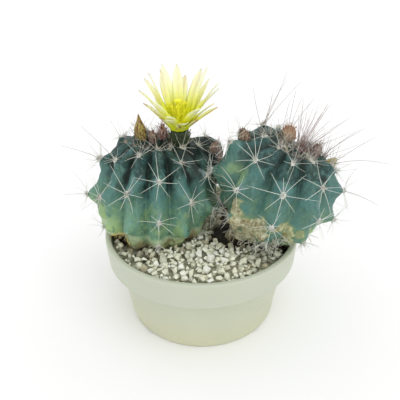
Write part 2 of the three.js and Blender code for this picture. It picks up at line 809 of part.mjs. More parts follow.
// One narrow pointed petal with a keel on its outer side, bowed out by its spread.
function petalSolid(angle, spread, length, width, seat) {
  const { throatRadius, cupRadius, cupDepth, cupWall } = FLOWER;
  const start = new THREE.Vector2(
    THREE.MathUtils.lerp(throatRadius, cupRadius, seat) - cupWall * 0.6,
    CUP_BASE + cupDepth * seat,
  );
  const towards = (lean, distance) =>
    new THREE.Vector2(Math.sin(radians(lean)), Math.cos(radians(lean))).multiplyScalar(distance).add(start);
  const middle = towards(spread - PETAL.bowIn, length * 0.5);
  const spine = new THREE.QuadraticBezierCurve(start, middle, towards(spread + PETAL.bowOut, length));
  const outlines = [
    [0, 0.5],
    [0.3, 0.78],
    [0.62, 1],
    [0.86, 0.62],
  ];
  const place = (radius, sideways, height) =>
    vector(
      radius * Math.cos(angle) - sideways * Math.sin(angle),
      radius * Math.sin(angle) + sideways * Math.cos(angle),
      height,
    );
  const rings = outlines.map(([share, fullness]) => {
    const point = spine.getPoint(share);
    const way = spine.getTangent(share);
    const half = (width * fullness) / 2;
    const keel = new THREE.Vector2(way.y, -way.x).multiplyScalar(PETAL.keel * 0.6).add(point);
    const brim = new THREE.Vector2(-way.y, way.x).multiplyScalar(PETAL.keel * 0.4).add(point);
    return [place(brim.x, half, brim.y), place(keel.x, 0, keel.y), place(brim.x, -half, brim.y)];
  });
  const tip = spine.getPoint(1);
  return loft([...rings, [place(tip.x, 0, tip.y)]]);
}

function petalsSolid() {
  const draw = seededDraw(PETAL.seed);
  const { unevenness, turnSpread } = PETAL;
  const petals = PETAL_LAYERS.flatMap(({ count, spread, length, width, turn, seat }) =>
    around(count, (way) => {
      const angle = way + radians(turn + draw(-turnSpread, turnSpread));
      const lean = spread + draw(-unevenness, unevenness);
      return petalSolid(angle, lean, length * draw(0.93, 1.05), width, seat);
    }),
  );
  return join([cupSolid(), ...petals]);
}

// The tuft of stamens round the style, standing on a low cushion in the cup.
function stamensSolid() {
  const { throatRadius, cupWall, cupDepth, cupFloor } = FLOWER;
  const { count, length, spread, radius, anther, styleLength, styleRadius, lobes } = STAMEN;
  const seat = CUP_BASE + cupFloor + SEAT_GAP;
  const cushionRadius = throatRadius - cupWall - SEAT_GAP;
  const cushion = turned(
    [
      [0, seat],
      [cushionRadius, seat],
      [cushionRadius * 0.8, seat + cupDepth * 0.4],
      [0, seat + cupDepth * 0.5],
    ],
    12,
  );
  const style = turned(
    [
      [0, seat],
      [styleRadius, seat],
      [styleRadius, seat + styleLength],
      [0, seat + styleLength],
    ],
    6,
  );
  const filaments = around(count, (angle, i) => {
    const lean = Math.tan(radians(spread * (i % 2 === 0 ? 1 : 0.6)));
    const way = vector(lean * Math.cos(angle), lean * Math.sin(angle), 1).normalize();
    const root = vector(Math.cos(angle), Math.sin(angle), 0).multiplyScalar(cushionRadius / 2);
    root.setZ(seat + radius * 2);
    const top = root.clone().addScaledVector(way, length * 0.9);
    const head = new THREE.OctahedronGeometry(anther, 0).translate(top.x, top.y, top.z);
    return join([spike(root, way, length, radius), solidOf(head)]);
  });
  const styleTop = vector(0, 0, seat + styleLength - STAMEN.lobeRadius);
  const stigma = around(lobes, (angle) =>
    spike(styleTop, vector(Math.cos(angle), Math.sin(angle), 1), STAMEN.lobeLength, STAMEN.lobeRadius),
  );
  return join([cushion, style, ...filaments, ...stigma]);
}

// Spines

// A test of whether a point of one stem's spine stays clear of everything that the spine doesn't grow from.
function clearanceTest(own, other) {
  const ownCentre = vector(...own.centre);
  const otherCentre = vector(...other.centre);
  const shares = (point, stem, centre) => point.distanceTo(centre) / (stem.radius + stem.nose);
  const toFlower = flowerMatrix().invert();
  const budFrames = BUDS.map((bud) => [bud, budMatrix(bud).invert()]);
  const isAtRim = ({ x, y, z }) =>
    Math.hypot(x, y) < POT.rimRadius + CLEAR.rimSide && z < POT.height + CLEAR.rimTop;
  const isInFlower = ({ x, y, z }) => {
    const flare = Math.max(0, z - FLOWER.tubeLength) * CLEAR.flowerFlare;
    const top = FLOWER.tubeLength + FLOWER.cupDepth + CLEAR.bloom;
    return z > 0 && z < top && Math.hypot(x, y) < FLOWER.tubeRadius + CLEAR.flower + flare;
  };
  const isInBud = ({ x, y, z }, bud) =>
    z > -1 && z < bud.length + CLEAR.bud && Math.hypot(x, y) < bud.radius + CLEAR.bud;
  return (point) =>
    !isAtRim(point) &&
    shares(point, own, ownCentre) < shares(point, other, otherCentre) - CLEAR.stems &&
    !isInFlower(point.clone().applyMatrix4(toFlower)) &&
    !budFrames.some(([bud, toBud]) => isInBud(point.clone().applyMatrix4(toBud), bud));
}

// The shortest distance between two spines, each given by its two ends.
function spineDistance([a, b], [c, d]) {
  const nearest = (point, from, to) =>
    new THREE.Line3(from, to).closestPointToPoint(point, true, new THREE.Vector3()).distanceTo(point);
  const samples = [0, 0.2, 0.4, 0.6, 0.8, 1];
  const between = (from, to) => samples.map((share) => from.clone().lerp(to, share));
  const oneWay = between(a, b).map((point) => nearest(point, c, d));
  const otherWay = between(c, d).map((point) => nearest(point, a, b));
  return Math.min(...oneWay, ...otherWay);
}

// A spine's way from its areole, turned up until it is clear of all else, or nothing where no way is clear.
function spineWay(areole, spine, isClear) {
  const { place, out, up, side } = areole;
  for (let attempt = 0; attempt < SPINE.tries; attempt += 1) {
    const rise = radians(Math.min(SPINE.steepest, spine.lift + attempt * SPINE.turnUp));
    const way = side.clone().multiplyScalar(Math.cos(spine.heading));
    way.addScaledVector(up, Math.sin(spine.heading)).multiplyScalar(Math.cos(rise));
    way.addScaledVector(out, Math.sin(rise)).multiplyScalar(spine.length);
    if (isClear(place, way, spine.bend)) return way;
  }
  return null;
}

// One spine for each of the areole's six flank directions, and a longer central on top.
function drawSpines(areole, directions, stem, draw) {
  const isCrown = areole.row === 0;
  const isLowest = areole.row === stem.rowLatitudes.length - 1;
  const reach = isCrown ? stem.crownSpine : stem.shoulderSpine * (isLowest ? SPINE.lowShare : 1);
  const flanks = directions.map((direction, i) => ({
    heading: direction + draw(-SPINE.sway, SPINE.sway),
    lift: (isCrown ? SPINE.crownLift : SPINE.lift) + (i % 2 === 0 ? -1 : 1) * SPINE.liftSpread,
    length: reach * draw(...SPINE.flankLength),
    bend: vector(0, 0, 0),
  }));
  const bend = vector(draw(-1, 1), draw(-1, 1), draw(-0.3, 0.7));
  bend.multiplyScalar(isCrown ? SPINE.crownBend : SPINE.bend);
  const heading = draw(0, 2 * Math.PI);
  return [...flanks, { heading, lift: SPINE.steepest, length: reach * draw(...SPINE.centralLength), bend }];
}

// Opens the skin's corner at an areole into a small triangle, and grows a knob and the spines out of it.
function growAreole(skin, areole, stem, draw, isClear) {
  const { points, faces } = skin;
  const { place, out, up, side } = areole;
  const corner = points.findIndex((point) => point.distanceTo(place) < 1e-6);
  const neighbours = ringAround(faces, corner);
  const angles = neighbours.map((index) => {
    const reach = points[index].clone().sub(place);
    return Math.atan2(reach.dot(up), reach.dot(side));
  });
  const start = angles.indexOf(Math.min(...angles));
  const ring = neighbours.map((_, i) => neighbours[(start + i) % neighbours.length]);
  const footOf = (i) => Math.floor(((i % ring.length) * 3) / ring.length);
  const at = (radius, angle, height) => {
    const point = place.clone().addScaledVector(out, height);
    point.addScaledVector(side, radius * Math.cos(angle)).addScaledVector(up, radius * Math.sin(angle));
    return points.push(point) - 1;
  };
  const turn = -(2 * Math.PI) / 3;
  const foot = around(3, (angle) => at(AREOLE.footRadius, turn + angle, -AREOLE.sink));
  const head = around(3, (angle) => at(AREOLE.headRadius, turn + angle + Math.PI / 3, AREOLE.height));
  ring.forEach((index, i) => {
    const next = ring[(i + 1) % ring.length];
    faces.push(foot[footOf(i)], index, next);
    if (footOf(i) !== footOf(i + 1)) faces.push(foot[footOf(i)], next, foot[footOf(i + 1)]);
  });
  const directions = around(6, (angle) => turn + Math.PI / 3 + angle);
  const spines = drawSpines(areole, directions, stem, draw);
  const drawOut = (corners, spine) => growSpine(skin, corners, spine, spineWay(areole, spine, isClear));
  for (let k = 0; k < 3; k += 1) {
    const next = (k + 1) % 3;
    drawOut([foot[k], foot[next], head[k]], spines[2 * k]);
    drawOut([foot[next], head[next], head[k]], spines[2 * k + 1]);
  }
  drawOut(head, spines[6]);
}

// Takes a corner's faces out of the list, and returns the corners round it, anticlockwise from outside.
function ringAround(faces, corner) {
  const nextOf = new Map();
  for (let i = faces.length - 3; i >= 0; i -= 3) {
    const place = [0, 1, 2].find((k) => faces[i + k] === corner);
    if (place === undefined) continue;
    nextOf.set(faces[i + ((place + 1) % 3)], faces[i + ((place + 2) % 3)]);
    faces.splice(i, 3);
  }
  const ring = [nextOf.keys().next().value];
  while (ring.length < nextOf.size) ring.push(nextOf.get(ring[ring.length - 1]));
  return ring;
}

// Draws one face of a knob out into a spine, through a narrower middle if it bends, or closes it without one.
function growSpine({ points, faces }, corners, spine, way) {
  if (!way) {
    faces.push(...corners);
    return;
  }
  const middle = middleOf(corners.map((corner) => points[corner]));
  let ring = corners;
  if (spine.bend.lengthSq() > 0) {
    const shift = way.clone().multiplyScalar(BENT.share).addScaledVector(spine.bend, BENT.share ** 2);
    const narrowed = (corner) => points[corner].clone().lerp(middle, 1 - BENT.width).add(shift);
    ring = corners.map((corner) => points.push(narrowed(corner)) - 1);
    corners.forEach((corner, i) => {
      const next = (i + 1) % 3;
      faces.push(corner, corners[next], ring[next], corner, ring[next], ring[i]);
    });
  }
  const tip = points.push(middle.clone().add(way).add(spine.bend)) - 1;
  ring.forEach((corner, i) => faces.push(corner, ring[(i + 1) % 3], tip));
}

// The skin with all its areoles above the bed, as one solid.
function spinySkin(stem, other) {
  const draw = seededDraw(stem.seed);
  const isPointClear = clearanceTest(stem, other);
  const matrix = stemMatrix(stem);
  const grown = [];
  const isClear = (place, way, bend) => {
    const at = (share) => place.clone().addScaledVector(way, share).addScaledVector(bend, share * share);
    const halves = [[at(0.12), at(0.5)], [at(0.5), at(1)]];
    const isFree = [0.25, 0.4, 0.55, 0.7, 0.85, 1.03].every((share) =>
      isPointClear(at(share).applyMatrix4(matrix)),
    );
    const isApart = () => halves.every((half) => grown.every((next) => spineDistance(half, next) > SPINE.apart));
    if (!isFree || !isApart()) return false;
    grown.push(...halves);
    return true;
  };
  const skin = skinFaces(stem);
  const bedHeight = BED.gritTop + BED.dome + STONE.rise;
  areolesOf(stem)
    .filter(({ place }) => place.clone().applyMatrix4(matrix).z > bedHeight)
    .forEach((areole) => growAreole(skin, areole, stem, draw, isClear));
  return solidOfFaces(skin);
}

// The ring round the pot's lip that the stems lean over and press against, just clear of it.
function rimSeat() {
  const outer = (POT.rimRadius + SEAT_GAP) / Math.cos(Math.PI / POT.sides);
  const top = POT.height + SEAT_GAP;
  const profile = [
    [BED_RADIUS, COLLAR_BOTTOM],
    [outer, COLLAR_BOTTOM],
    [outer, top],
    [BED_RADIUS, top],
    [BED_RADIUS, COLLAR_BOTTOM],
  ];
  return turned(profile, POT.sides);
}

// The whole stem: skin, root, cork and spines in one body, with plain sockets for its buds and its flower.
function stemSolid(key) {
  const stem = STEMS[key];
  const other = key === "left" ? RIGHT_STEM : LEFT_STEM;
  const toStem = stemMatrix(stem).invert();
  const buds = BUDS.filter((bud) => bud.stem === key).map((bud) => moved(budSocket(bud), budMatrix(bud)));
  const flower = key === "left" ? [moved(tubeSocket(), flowerMatrix())] : [];
  const cuts = moved(join([rimSeat(), ...buds, ...flower]), toStem);
  const cork = key === "right" ? corkSolids(stem) : [];
  const body = join([spinySkin(stem, other), rootSolid(stem), ...cork]);
  return largestBody(body.subtract(cuts));
}

// The assembled part

function placed(name, solid, colour, matrix) {
  const mesh = meshOf(name, solid, colour);
  const holder = new THREE.Group();
  matrix.decompose(holder.position, holder.quaternion, holder.scale);
  holder.add(mesh);
  return holder;
}

const plant = new THREE.Group();
plant.add(meshOf("pot", potSolid(), COLOURS.pot));
plant.add(meshOf("soil", soilSolid(), COLOURS.soil));
plant.add(meshOf("grit", gritSolid(), COLOURS.grit));
plant.add(placed("cactus_left", stemSolid("left"), COLOURS.skin, stemMatrix(LEFT_STEM)));
plant.add(placed("cactus_right", stemSolid("right"), COLOURS.skin, stemMatrix(RIGHT_STEM)));
plant.add(placed("flower_tube", tubeSolid(), COLOURS.tube, flowerMatrix()));
plant.add(placed("flower_petals", petalsSolid(), COLOURS.petal, flowerMatrix()));
plant.add(placed("flower_stamens", stamensSolid(), COLOURS.stamen, flowerMatrix()));
BUDS.forEach((bud) => plant.add(placed(bud.name, budSolid(bud), COLOURS.bud, budMatrix(bud))));

export default plant;
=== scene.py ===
import math
from dataclasses import dataclass

import bmesh
import bpy
import numpy as np
from bpy.props import FloatProperty, FloatVectorProperty, IntProperty, PointerProperty
from mathutils import Matrix, Vector
from mathutils.bvhtree import BVHTree


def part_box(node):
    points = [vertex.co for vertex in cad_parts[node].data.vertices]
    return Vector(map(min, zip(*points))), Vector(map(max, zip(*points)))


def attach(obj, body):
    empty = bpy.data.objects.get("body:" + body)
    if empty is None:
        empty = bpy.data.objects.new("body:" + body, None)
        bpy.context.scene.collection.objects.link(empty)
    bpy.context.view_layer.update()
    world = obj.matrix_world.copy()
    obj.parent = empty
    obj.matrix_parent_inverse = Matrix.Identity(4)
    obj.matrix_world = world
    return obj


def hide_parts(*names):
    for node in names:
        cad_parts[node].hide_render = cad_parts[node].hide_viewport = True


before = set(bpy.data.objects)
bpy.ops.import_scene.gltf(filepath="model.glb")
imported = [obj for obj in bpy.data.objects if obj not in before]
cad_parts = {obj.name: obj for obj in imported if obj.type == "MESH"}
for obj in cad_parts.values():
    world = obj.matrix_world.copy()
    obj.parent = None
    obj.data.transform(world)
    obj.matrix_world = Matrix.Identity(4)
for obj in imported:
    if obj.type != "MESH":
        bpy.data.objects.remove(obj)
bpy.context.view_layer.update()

bl_info = {
    "name": "Potted Barrel Cactus",
    "version": (1, 0, 0),
    "blender": (4, 5, 0),
    "location": "3D View > Sidebar > Cactus",
    "description": "Builds a barrel cactus with two stems in its pot, in flower",
    "category": "Add Mesh",
}

MM = 0.001

POT_LOW, POT_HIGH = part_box("pot")
SOIL_LOW, SOIL_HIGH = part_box("soil")
GRIT_LOW, GRIT_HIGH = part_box("grit")

FULL_TURN = 2 * math.pi
GOLDEN_ANGLE = math.pi * (3 - math.sqrt(5))


# Colours and small sums


def srgb(red, green, blue):
    """A colour of 0 to 255 as the linear values that Blender's sockets take."""
    shares = [value / 255 for value in (red, green, blue)]
    return tuple(s / 12.92 if s <= 0.04045 else ((s + 0.055) / 1.055) ** 2.4 for s in shares)


def unit(vectors):
    """The same directions with a length of one."""
    vectors = np.asarray(vectors, float)
    return vectors / np.maximum(np.linalg.norm(vectors, axis=-1, keepdims=True), 1e-12)


def smooth(value, low, high):
    """A share that eases from 0 at low to 1 at high."""
    share = np.clip((np.asarray(value, float) - low) / (high - low), 0, 1)
    return share * share * (3 - 2 * share)


def waves(points, size, seed, count=16):
    """Smooth noise, mostly from -1 to 1, whose lumps are about as wide as size."""
    draw = np.random.default_rng(seed)
    ways = unit(draw.normal(size=(count, 3))) * draw.uniform(0.7, 1.5, (count, 1))
    phases = draw.uniform(0, FULL_TURN, count)
    turns = np.asarray(points) @ ways.T * (math.pi / size) + phases
    return np.sin(turns).sum(-1) / math.sqrt(count)


def millimetres(length):
    """A setting's length in the millimetres that the mesh code works in."""
    return length / MM


def level(angle):
    """Level directions at angles about +Z."""
    angle = np.asarray(angle, float)
    return np.stack([np.cos(angle), np.sin(angle), np.zeros(angle.shape)], -1)


def turned_by(points, angle):
    """The points turned about +Z."""
    x, y = points[..., 0], points[..., 1]
    cosine, sine = np.cos(angle), np.sin(angle)
    return np.stack([x * cosine - y * sine, x * sine + y * cosine, points[..., 2]], -1)


def upright(up):
    """Side, back and up directions, one in each row, for a thing that grows along up."""
    up = unit(up)
    back = unit(np.array([0, 1, 0]) - up * up[1])
    return np.array([np.cross(back, up), back, up])


# Settings that a user would change


def colour_setting(name, description, *shades):
    """A colour, with its default given as red, green and blue from 0 to 255."""
    return FloatVectorProperty(name=name, description=description, default=srgb(*shades), subtype="COLOR")


def length_setting(name, description, default):
    """A length in metres."""
    return FloatProperty(name=name, description=description, default=default, unit="LENGTH", precision=5)


def angle_setting(name, description, degrees):
    """An angle, with its default given in degrees."""
    return FloatProperty(name=name, description=description, default=math.radians(degrees), unit="ROTATION")


def count_setting(name, description, default, least=0):
    """A number of things or of steps."""
    return IntProperty(name=name, description=description, default=default, min=least)


class PotSettings(bpy.types.PropertyGroup):
    """The pot's sizes and colour."""

    rim_radius: length_setting("Rim radius", "Radius of the pot at its lip", (POT_HIGH.x - POT_LOW.x) / 2)
    height: length_setting("Height", "Height of the pot", POT_HIGH.z)
    lip: length_setting("Lip", "Width of the lip", 0.005)
    sides: count_setting("Sides", "Steps round the pot", 240, 48)
    colour: colour_setting("Colour", "Colour of the moulded plastic", 192, 198, 179)
    foot_colour: colour_setting("Foot colour", "Warmer colour towards the pot's foot", 201, 202, 172)


class BedSettings(bpy.types.PropertyGroup):
    """The soil and the grit in the pot."""

    soil_colour: colour_setting("Soil colour", "Colour of the soil", 62, 56, 44)
    crumbs: count_setting("Crumbs", "Number of soil crumbs", 900)
    stone_size: length_setting("Stone size", "Mean width of a stone", 0.0072)
    stones: count_setting("Stones", "Most places to try for a stone", 7000)
    stone_colour: colour_setting("Stone colour", "Usual colour of a stone", 236, 237, 214)
    dark_stone_colour: colour_setting("Dark stone colour", "Colour of the darkest stones", 196, 199, 178)


class StemSettings(bpy.types.PropertyGroup):
    """The stems' colours and the fineness of their skin."""

    columns_per_rib: count_setting("Columns per rib", "Steps of the skin across one rib", 22, 4)
    rows: count_setting("Rows", "Steps of the skin from foot to crown", 150, 20)
    crown_colour: colour_setting("Crown skin", "Young skin of the crown", 28, 58, 52)
    high_colour: colour_setting("Upper skin", "Skin of the upper half", 74, 116, 107)
    low_colour: colour_setting("Lower skin", "Skin of the lower half", 116, 156, 124)
    # Painted shade deep between the ribs, in the crown's hollows and where the stems crowd each other.
    furrow_shade_colour: colour_setting("Furrow", "Skin deep between the ribs", 14, 34, 28)
    # Pale waxy bloom with painted highlights along the crests.
    crest_bloom_and_highlight_colour: colour_setting("Crest", "Waxy bloom along the crests", 118, 138, 142)
    # Sun-bleached patches, and low spots lightened as painted light.
    pale_colour: colour_setting("Pale patch", "Sun-bleached patches", 156, 186, 126)
    cork_colour: colour_setting("Cork", "Old cork at the foot", 204, 204, 166)


class SpineSettings(bpy.types.PropertyGroup):
    """The spines and the wool of the areoles."""

    radius: length_setting("Radius", "Radius of a spine at its foot", 0.00018)
    colour: colour_setting("Colour", "Colour of a grown spine", 222, 226, 214)
    young_colour: colour_setting("Young colour", "Colour of a spine on the crown", 120, 102, 94)
    fresh_colour: colour_setting("Fresh colour", "Colour of the newest spines", 126, 18, 52)
    wool_radius: length_setting("Wool radius", "Radius of an areole's wool", 0.0017)
    wool_colour: colour_setting("Wool colour", "Colour of the wool", 232, 234, 228)


class FlowerSettings(bpy.types.PropertyGroup):
    """The open flower's colours."""

    petal_colour: colour_setting("Petals", "Colour along most of a petal", 255, 255, 184)
    throat_colour: colour_setting("Throat", "Colour at a petal's foot", 244, 246, 20)
    tip_colour: colour_setting("Tips", "Colour of the outer petals' tips", 158, 84, 62)
    stamen_colour: colour_setting("Stamens", "Colour of the stamens", 252, 244, 60)
    tube_colour: colour_setting("Tube", "Colour of the green tube", 40, 58, 36)


class BudSettings(bpy.types.PropertyGroup):
    """The buds' fineness."""

    scale_rows: count_setting("Scale rows", "Steps along one scale", 6, 3)
    core_sides: count_setting("Core sides", "Steps round a bud's core", 20, 6)


class StageSettings(bpy.types.PropertyGroup):
    """The camera, the lights and the floor."""

    lens: FloatProperty(
        name="Focal length", description="Focal length of the camera", default=0.0414, unit="CAMERA"
    )
    pitch: angle_setting("Pitch", "How far the camera looks down", 28.4)
    roll: angle_setting("Roll", "How far the camera is turned about its view", 0.95)
    place: FloatVectorProperty(
        name="Camera place",
        description="Where the camera stands",
        default=(-0.0008, -0.341, 0.2879),
        subtype="TRANSLATION",
    )
    sky: FloatProperty(name="Sky", description="Strength of the white surroundings", default=0.98)
    key: FloatProperty(name="Key", description="Strength of the soft key light", default=0.6)
    floor_colour: FloatVectorProperty(
        name="Floor", description="Colour of the floor", default=(0.93, 0.93, 0.93), subtype="COLOR"
    )


class CactusSettings(bpy.types.PropertyGroup):
    """All settings of the potted cactus."""

    pot: PointerProperty(type=PotSettings)
    bed: PointerProperty(type=BedSettings)
    stem: PointerProperty(type=StemSettings)
    spine: PointerProperty(type=SpineSettings)
    flower: PointerProperty(type=FlowerSettings)
    bud: PointerProperty(type=BudSettings)
    stage: PointerProperty(type=StageSettings)


# Meshes


class Shape:
    """Points, faces and painted values of one mesh, gathered from its parts."""

    def __init__(self):
        self.points = []
        self.faces = []
        self.paint = {}
        self.total = 0

    def add(self, points, faces, **paint):
        """Adds a part with faces that count from its own first point, and values painted on its points."""
        points = np.asarray(points, float).reshape(-1, 3)
        for part in faces if isinstance(faces, (list, tuple)) else [faces]:
            self.faces += (np.asarray(part) + self.total).tolist()
        for name, value in paint.items():
            whole = np.broadcast_to(np.asarray(value, float), len(points))
            self.paint.setdefault(name, []).append((self.total, whole))
        self.points.append(points)
        self.total += len(points)

    def mesh(self, name):
        """The gathered parts as a mesh in metres, with each painted value as an attribute."""
        mesh = bpy.data.meshes.new(name)
        mesh.from_pydata((np.vstack(self.points) * MM).tolist(), [], self.faces)
        for key, parts in self.paint.items():
            values = np.zeros(self.total, np.float32)
            for start, part in parts:
                values[start : start + len(part)] = part
            mesh.attributes.new(key, "FLOAT", "POINT").data.foreach_set("value", values)
        mesh.validate()
        mesh.update()
        return mesh


def add_piece(mesh, material, node, smooth_faces=True):
    """Puts a mesh into the scene as a piece of the same name that stands for its node."""
    mesh.polygons.foreach_set("use_smooth", [smooth_faces] * len(mesh.polygons))
    mesh.materials.clear()
    mesh.materials.append(material)
    piece = bpy.data.objects.new(mesh.name, mesh)
    bpy.context.scene.collection.objects.link(piece)
    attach(piece, "root")
    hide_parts(node)


def grid_faces(rows, columns, closed=True):
    """Quads between rows of points, counted row by row. Closed also joins the last column to the first."""
    row = np.arange(rows - 1)[:, None] * columns
    column = np.arange(columns if closed else columns - 1)[None, :]
    following = (column + 1) % columns
    corners = [row + column, row + following, row + columns + following, row + columns + column]
    return np.stack(np.broadcast_arrays(*corners), -1).reshape(-1, 4)


def tube_faces(rows, columns):
    """Faces of a tube of rings, with both ends closed by flat caps."""
    first = np.arange(columns)
    return [grid_faces(rows, columns), first[None, ::-1], first[None, :] + (rows - 1) * columns]


def pointed_faces(rows, columns):
    """Faces of a tube of rings whose two ends meet in the two points that follow the rings."""
    first = np.arange(columns)
    following = (first + 1) % columns
    last = (rows - 1) * columns
    low = np.stack([np.full(columns, rows * columns), following, first], -1)
    high = np.stack([np.full(columns, rows * columns + 1), last + first, last + following], -1)
    return [grid_faces(rows, columns), low, high]


def rounded(corners, steps=5):
    """A profile of radius and height points from corners of radius, height and how far each is rounded."""
    points = [np.array(corners[0][:2], float)]
    for before, corner, after in zip(corners, corners[1:], corners[2:]):
        place = np.array(corner[:2], float)
        start = place + unit(np.array(before[:2]) - place) * corner[2]
        end = place + unit(np.array(after[:2]) - place) * corner[2]
        if corner[2] == 0:
            points.append(place)
            continue
        for share in np.linspace(0, 1, steps):
            points.append(start * (1 - share) ** 2 + 2 * place * share * (1 - share) + end * share**2)
    return np.array([*points, corners[-1][:2]])


def rings(profile, sides):
    """A ring of points about +Z for each radius and height of a profile."""
    profile = np.asarray(profile, float)
    ring = level(np.linspace(0, FULL_TURN, sides, endpoint=False))[:, :2]
    heights = np.broadcast_to(profile[:, None, 1:], (len(profile), sides, 1))
    return np.concatenate([profile[:, None, :1] * ring, heights], -1)


def turned(profile, sides):
    """Points and faces of a solid turned about +Z from a profile that starts and ends on the axis."""
    profile = np.asarray(profile, float)
    ends = [[0, 0, profile[0][1]], [0, 0, profile[-1][1]]]
    points = np.vstack([rings(profile[1:-1], sides).reshape(-1, 3), ends])
    return points, pointed_faces(len(profile) - 2, sides)


def tubes(lines, radii, sides):
    """Points and faces of closed tubes along many centre lines at once, shaped (tube, step, 3)."""
    lines = np.asarray(lines, float)
    count, steps, _ = lines.shape
    along = unit(np.gradient(lines, axis=1))
    chord = unit(lines[:, -1] - lines[:, 0])
    spare = np.where(np.abs(chord[:, 2:]) < 0.9, [[0.0, 0.0, 1.0]], [[1.0, 0.0, 0.0]])
    side = unit(np.cross(chord, spare))[:, None, :]
    side = unit(side - (side * along).sum(-1, keepdims=True) * along)
    other = np.cross(along, side)
    angle = np.arange(sides) * FULL_TURN / sides
    ring = side[:, :, None] * np.cos(angle)[:, None] + other[:, :, None] * np.sin(angle)[:, None]
    points = lines[:, :, None] + ring * np.broadcast_to(radii, (count, steps))[:, :, None, None]
    starts = (np.arange(count) * steps * sides)[:, None, None]
    faces = [(part[None] + starts).reshape(-1, part.shape[1]) for part in tube_faces(steps, sides)]
    return points.reshape(-1, 3), faces


def tree_of(*names):
    """A search tree over the named pieces, in millimetres."""
    points, faces = [], []
    for name in names:
        piece = bpy.data.objects.get(name)
        if piece is None:
            raise RuntimeError(f"{name} has to be built first")
        start = len(points)
        points += [vertex.co / MM for vertex in piece.data.vertices]
        faces += [[start + index for index in polygon.vertices] for polygon in piece.data.polygons]
    return BVHTree.FromPolygons(points, faces)


# Materials


class Finish:
    """A material's node tree, with short ways to add its nodes."""

    def __init__(self, name, **sockets):
        self.material = bpy.data.materials.new(name)
        self.material.use_nodes = True
        self.tree = self.material.node_tree
        self.shader = self.tree.nodes["Principled BSDF"]
        for socket, value in sockets.items():
            self.shader.inputs[socket.replace("_", " ").title().replace("Ior", "IOR")].default_value = value

    def node(self, kind, inputs, output=0, **settings):
        """Adds a node and returns one of its outputs. Inputs are values or other nodes' outputs."""
        node = self.tree.nodes.new(kind)
        for name, value in settings.items():
            setattr(node, name, value)
        for key, value in inputs.items():
            if isinstance(value, bpy.types.NodeSocket):
                self.tree.links.new(value, node.inputs[key])
            else:
                node.inputs[key].default_value = value
        return node.outputs[output]

    def painted(self, name):
        """A value painted on the mesh."""
        return self.node("ShaderNodeAttribute", {}, 2, attribute_name=name)

    def place(self):
        """The place on the piece, in metres."""
        return self.node("ShaderNodeTexCoord", {}, 3)

    def noise(self, size, detail=3.0, rough=0.55, stretch=None):
        """Noise from 0 to 1 whose lumps are about as wide as size, in millimetres."""
        place = self.place()
        if stretch:
            place = self.node("ShaderNodeVectorMath", {0: place, 1: stretch}, operation="MULTIPLY")
        inputs = {"Vector": place, "Scale": 0.5 / (size * MM), "Detail": detail, "Roughness": rough}
        return self.node("ShaderNodeTexNoise", inputs)

    def ramp(self, value, low, high, start=0.0, end=1.0):
        """The value eased from start to end as it goes from low to high."""
        inputs = {0: value, 1: low, 2: high, 3: start, 4: end}
        return self.node("ShaderNodeMapRange", inputs, interpolation_type="SMOOTHSTEP")

    def math(self, operation, first, second):
        """A sum of two values."""
        return self.node("ShaderNodeMath", {0: first, 1: second}, operation=operation)

    def ragged(self, name, noise, depth, low=0.25, high=0.65):
        """A painted value with a border that the noise breaks up."""
        shift = self.math("MULTIPLY", self.math("SUBTRACT", noise, 0.5), depth)
        return self.ramp(self.math("ADD", self.painted(name), shift), low, high)

    def coated(self, base, *coats):
        """A base colour with coats over it, each given as its share and its colour."""
        for share, colour in coats:
            ends = [end if isinstance(end, bpy.types.NodeSocket) else (*end, 1) for end in (base, colour)]
            base = self.node("ShaderNodeMix", {0: share, 6: ends[0], 7: ends[1]}, 2, data_type="RGBA")
        return base

    def colour(self, base, *coats):
        """Sets the shader's colour to a base with coats over it."""
        self.tree.links.new(self.coated(base, *coats), self.shader.inputs["Base Color"])

    def roughness(self, value):
        """Sets the shader's roughness from a node."""
        self.tree.links.new(value, self.shader.inputs["Roughness"])

    def bump(self, height, depth):
        """Adds relief of that depth, in millimetres, over any that is there already."""
        inputs = {"Height": height, "Distance": depth * MM}
        if self.shader.inputs["Normal"].is_linked:
            inputs["Normal"] = self.shader.inputs["Normal"].links[0].from_socket
        self.tree.links.new(self.node("ShaderNodeBump", inputs), self.shader.inputs["Normal"])


# The stems' shape


def leaning(right, forward):
    """An upward direction that leans to the right and forward by so many degrees."""
    return unit([math.tan(math.radians(right)), -math.tan(math.radians(forward)), 1])


@dataclass(frozen=True)
class Stem:
    """A ribbed stem in its own frame, whose up direction leans right and forward."""

    key: str
    centre: tuple
    lean: tuple
    radius: float
    top_height: float
    bottom_depth: float
    low_fullness: float
    ribs: int
    first_rib: float
    rib_depth: float
    crown_dip: float
    nose: float
    swellings: tuple
    rows: tuple
    rib_shift: tuple
    ripeness: float
    furrow_darkness: float
    nose_highlight: float
    crown_wool: float
    seed: int

    @property
    def node(self):
        """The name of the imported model's node."""
        return f"cactus_{self.key}"

    def turn(self, ways):
        """Directions of the stem's frame as directions of the part's frame."""
        return np.asarray(ways) @ upright(leaning(*self.lean))

    def world(self, points):
        """Points of the stem's frame as points of the part's frame."""
        return self.turn(points) + self.centre


# A swelling is an azimuth, a latitude, how far it stands out, and its spread in degrees. The shares before
# the seed say how far low skin pales, how dark the painted shade in the furrows is, how strong the painted
# highlight on the low noses is, and how woolly the crown.
LEFT = Stem(
    key="left",
    centre=(-38, 8, 109),
    lean=(4, 0),
    radius=48,
    top_height=46,
    bottom_depth=52,
    low_fullness=0.85,
    ribs=13,
    first_rib=6.5,
    rib_depth=10.5,
    crown_dip=7,
    nose=6.2,
    swellings=((-84, -8, 3, 34), (120, 25, 17.5, 20), (98, -3, 4, 16), (120, 35, 6.5, 12)),
    rows=(75, 55, 18, -17, -46),
    rib_shift=(18, -3, 14, 2, -8, 6, 14, 0, -9, 5, -17, -7, 5),
    ripeness=1,
    furrow_darkness=1,
    nose_highlight=0.8,
    crown_wool=0.55,
    seed=5,
)

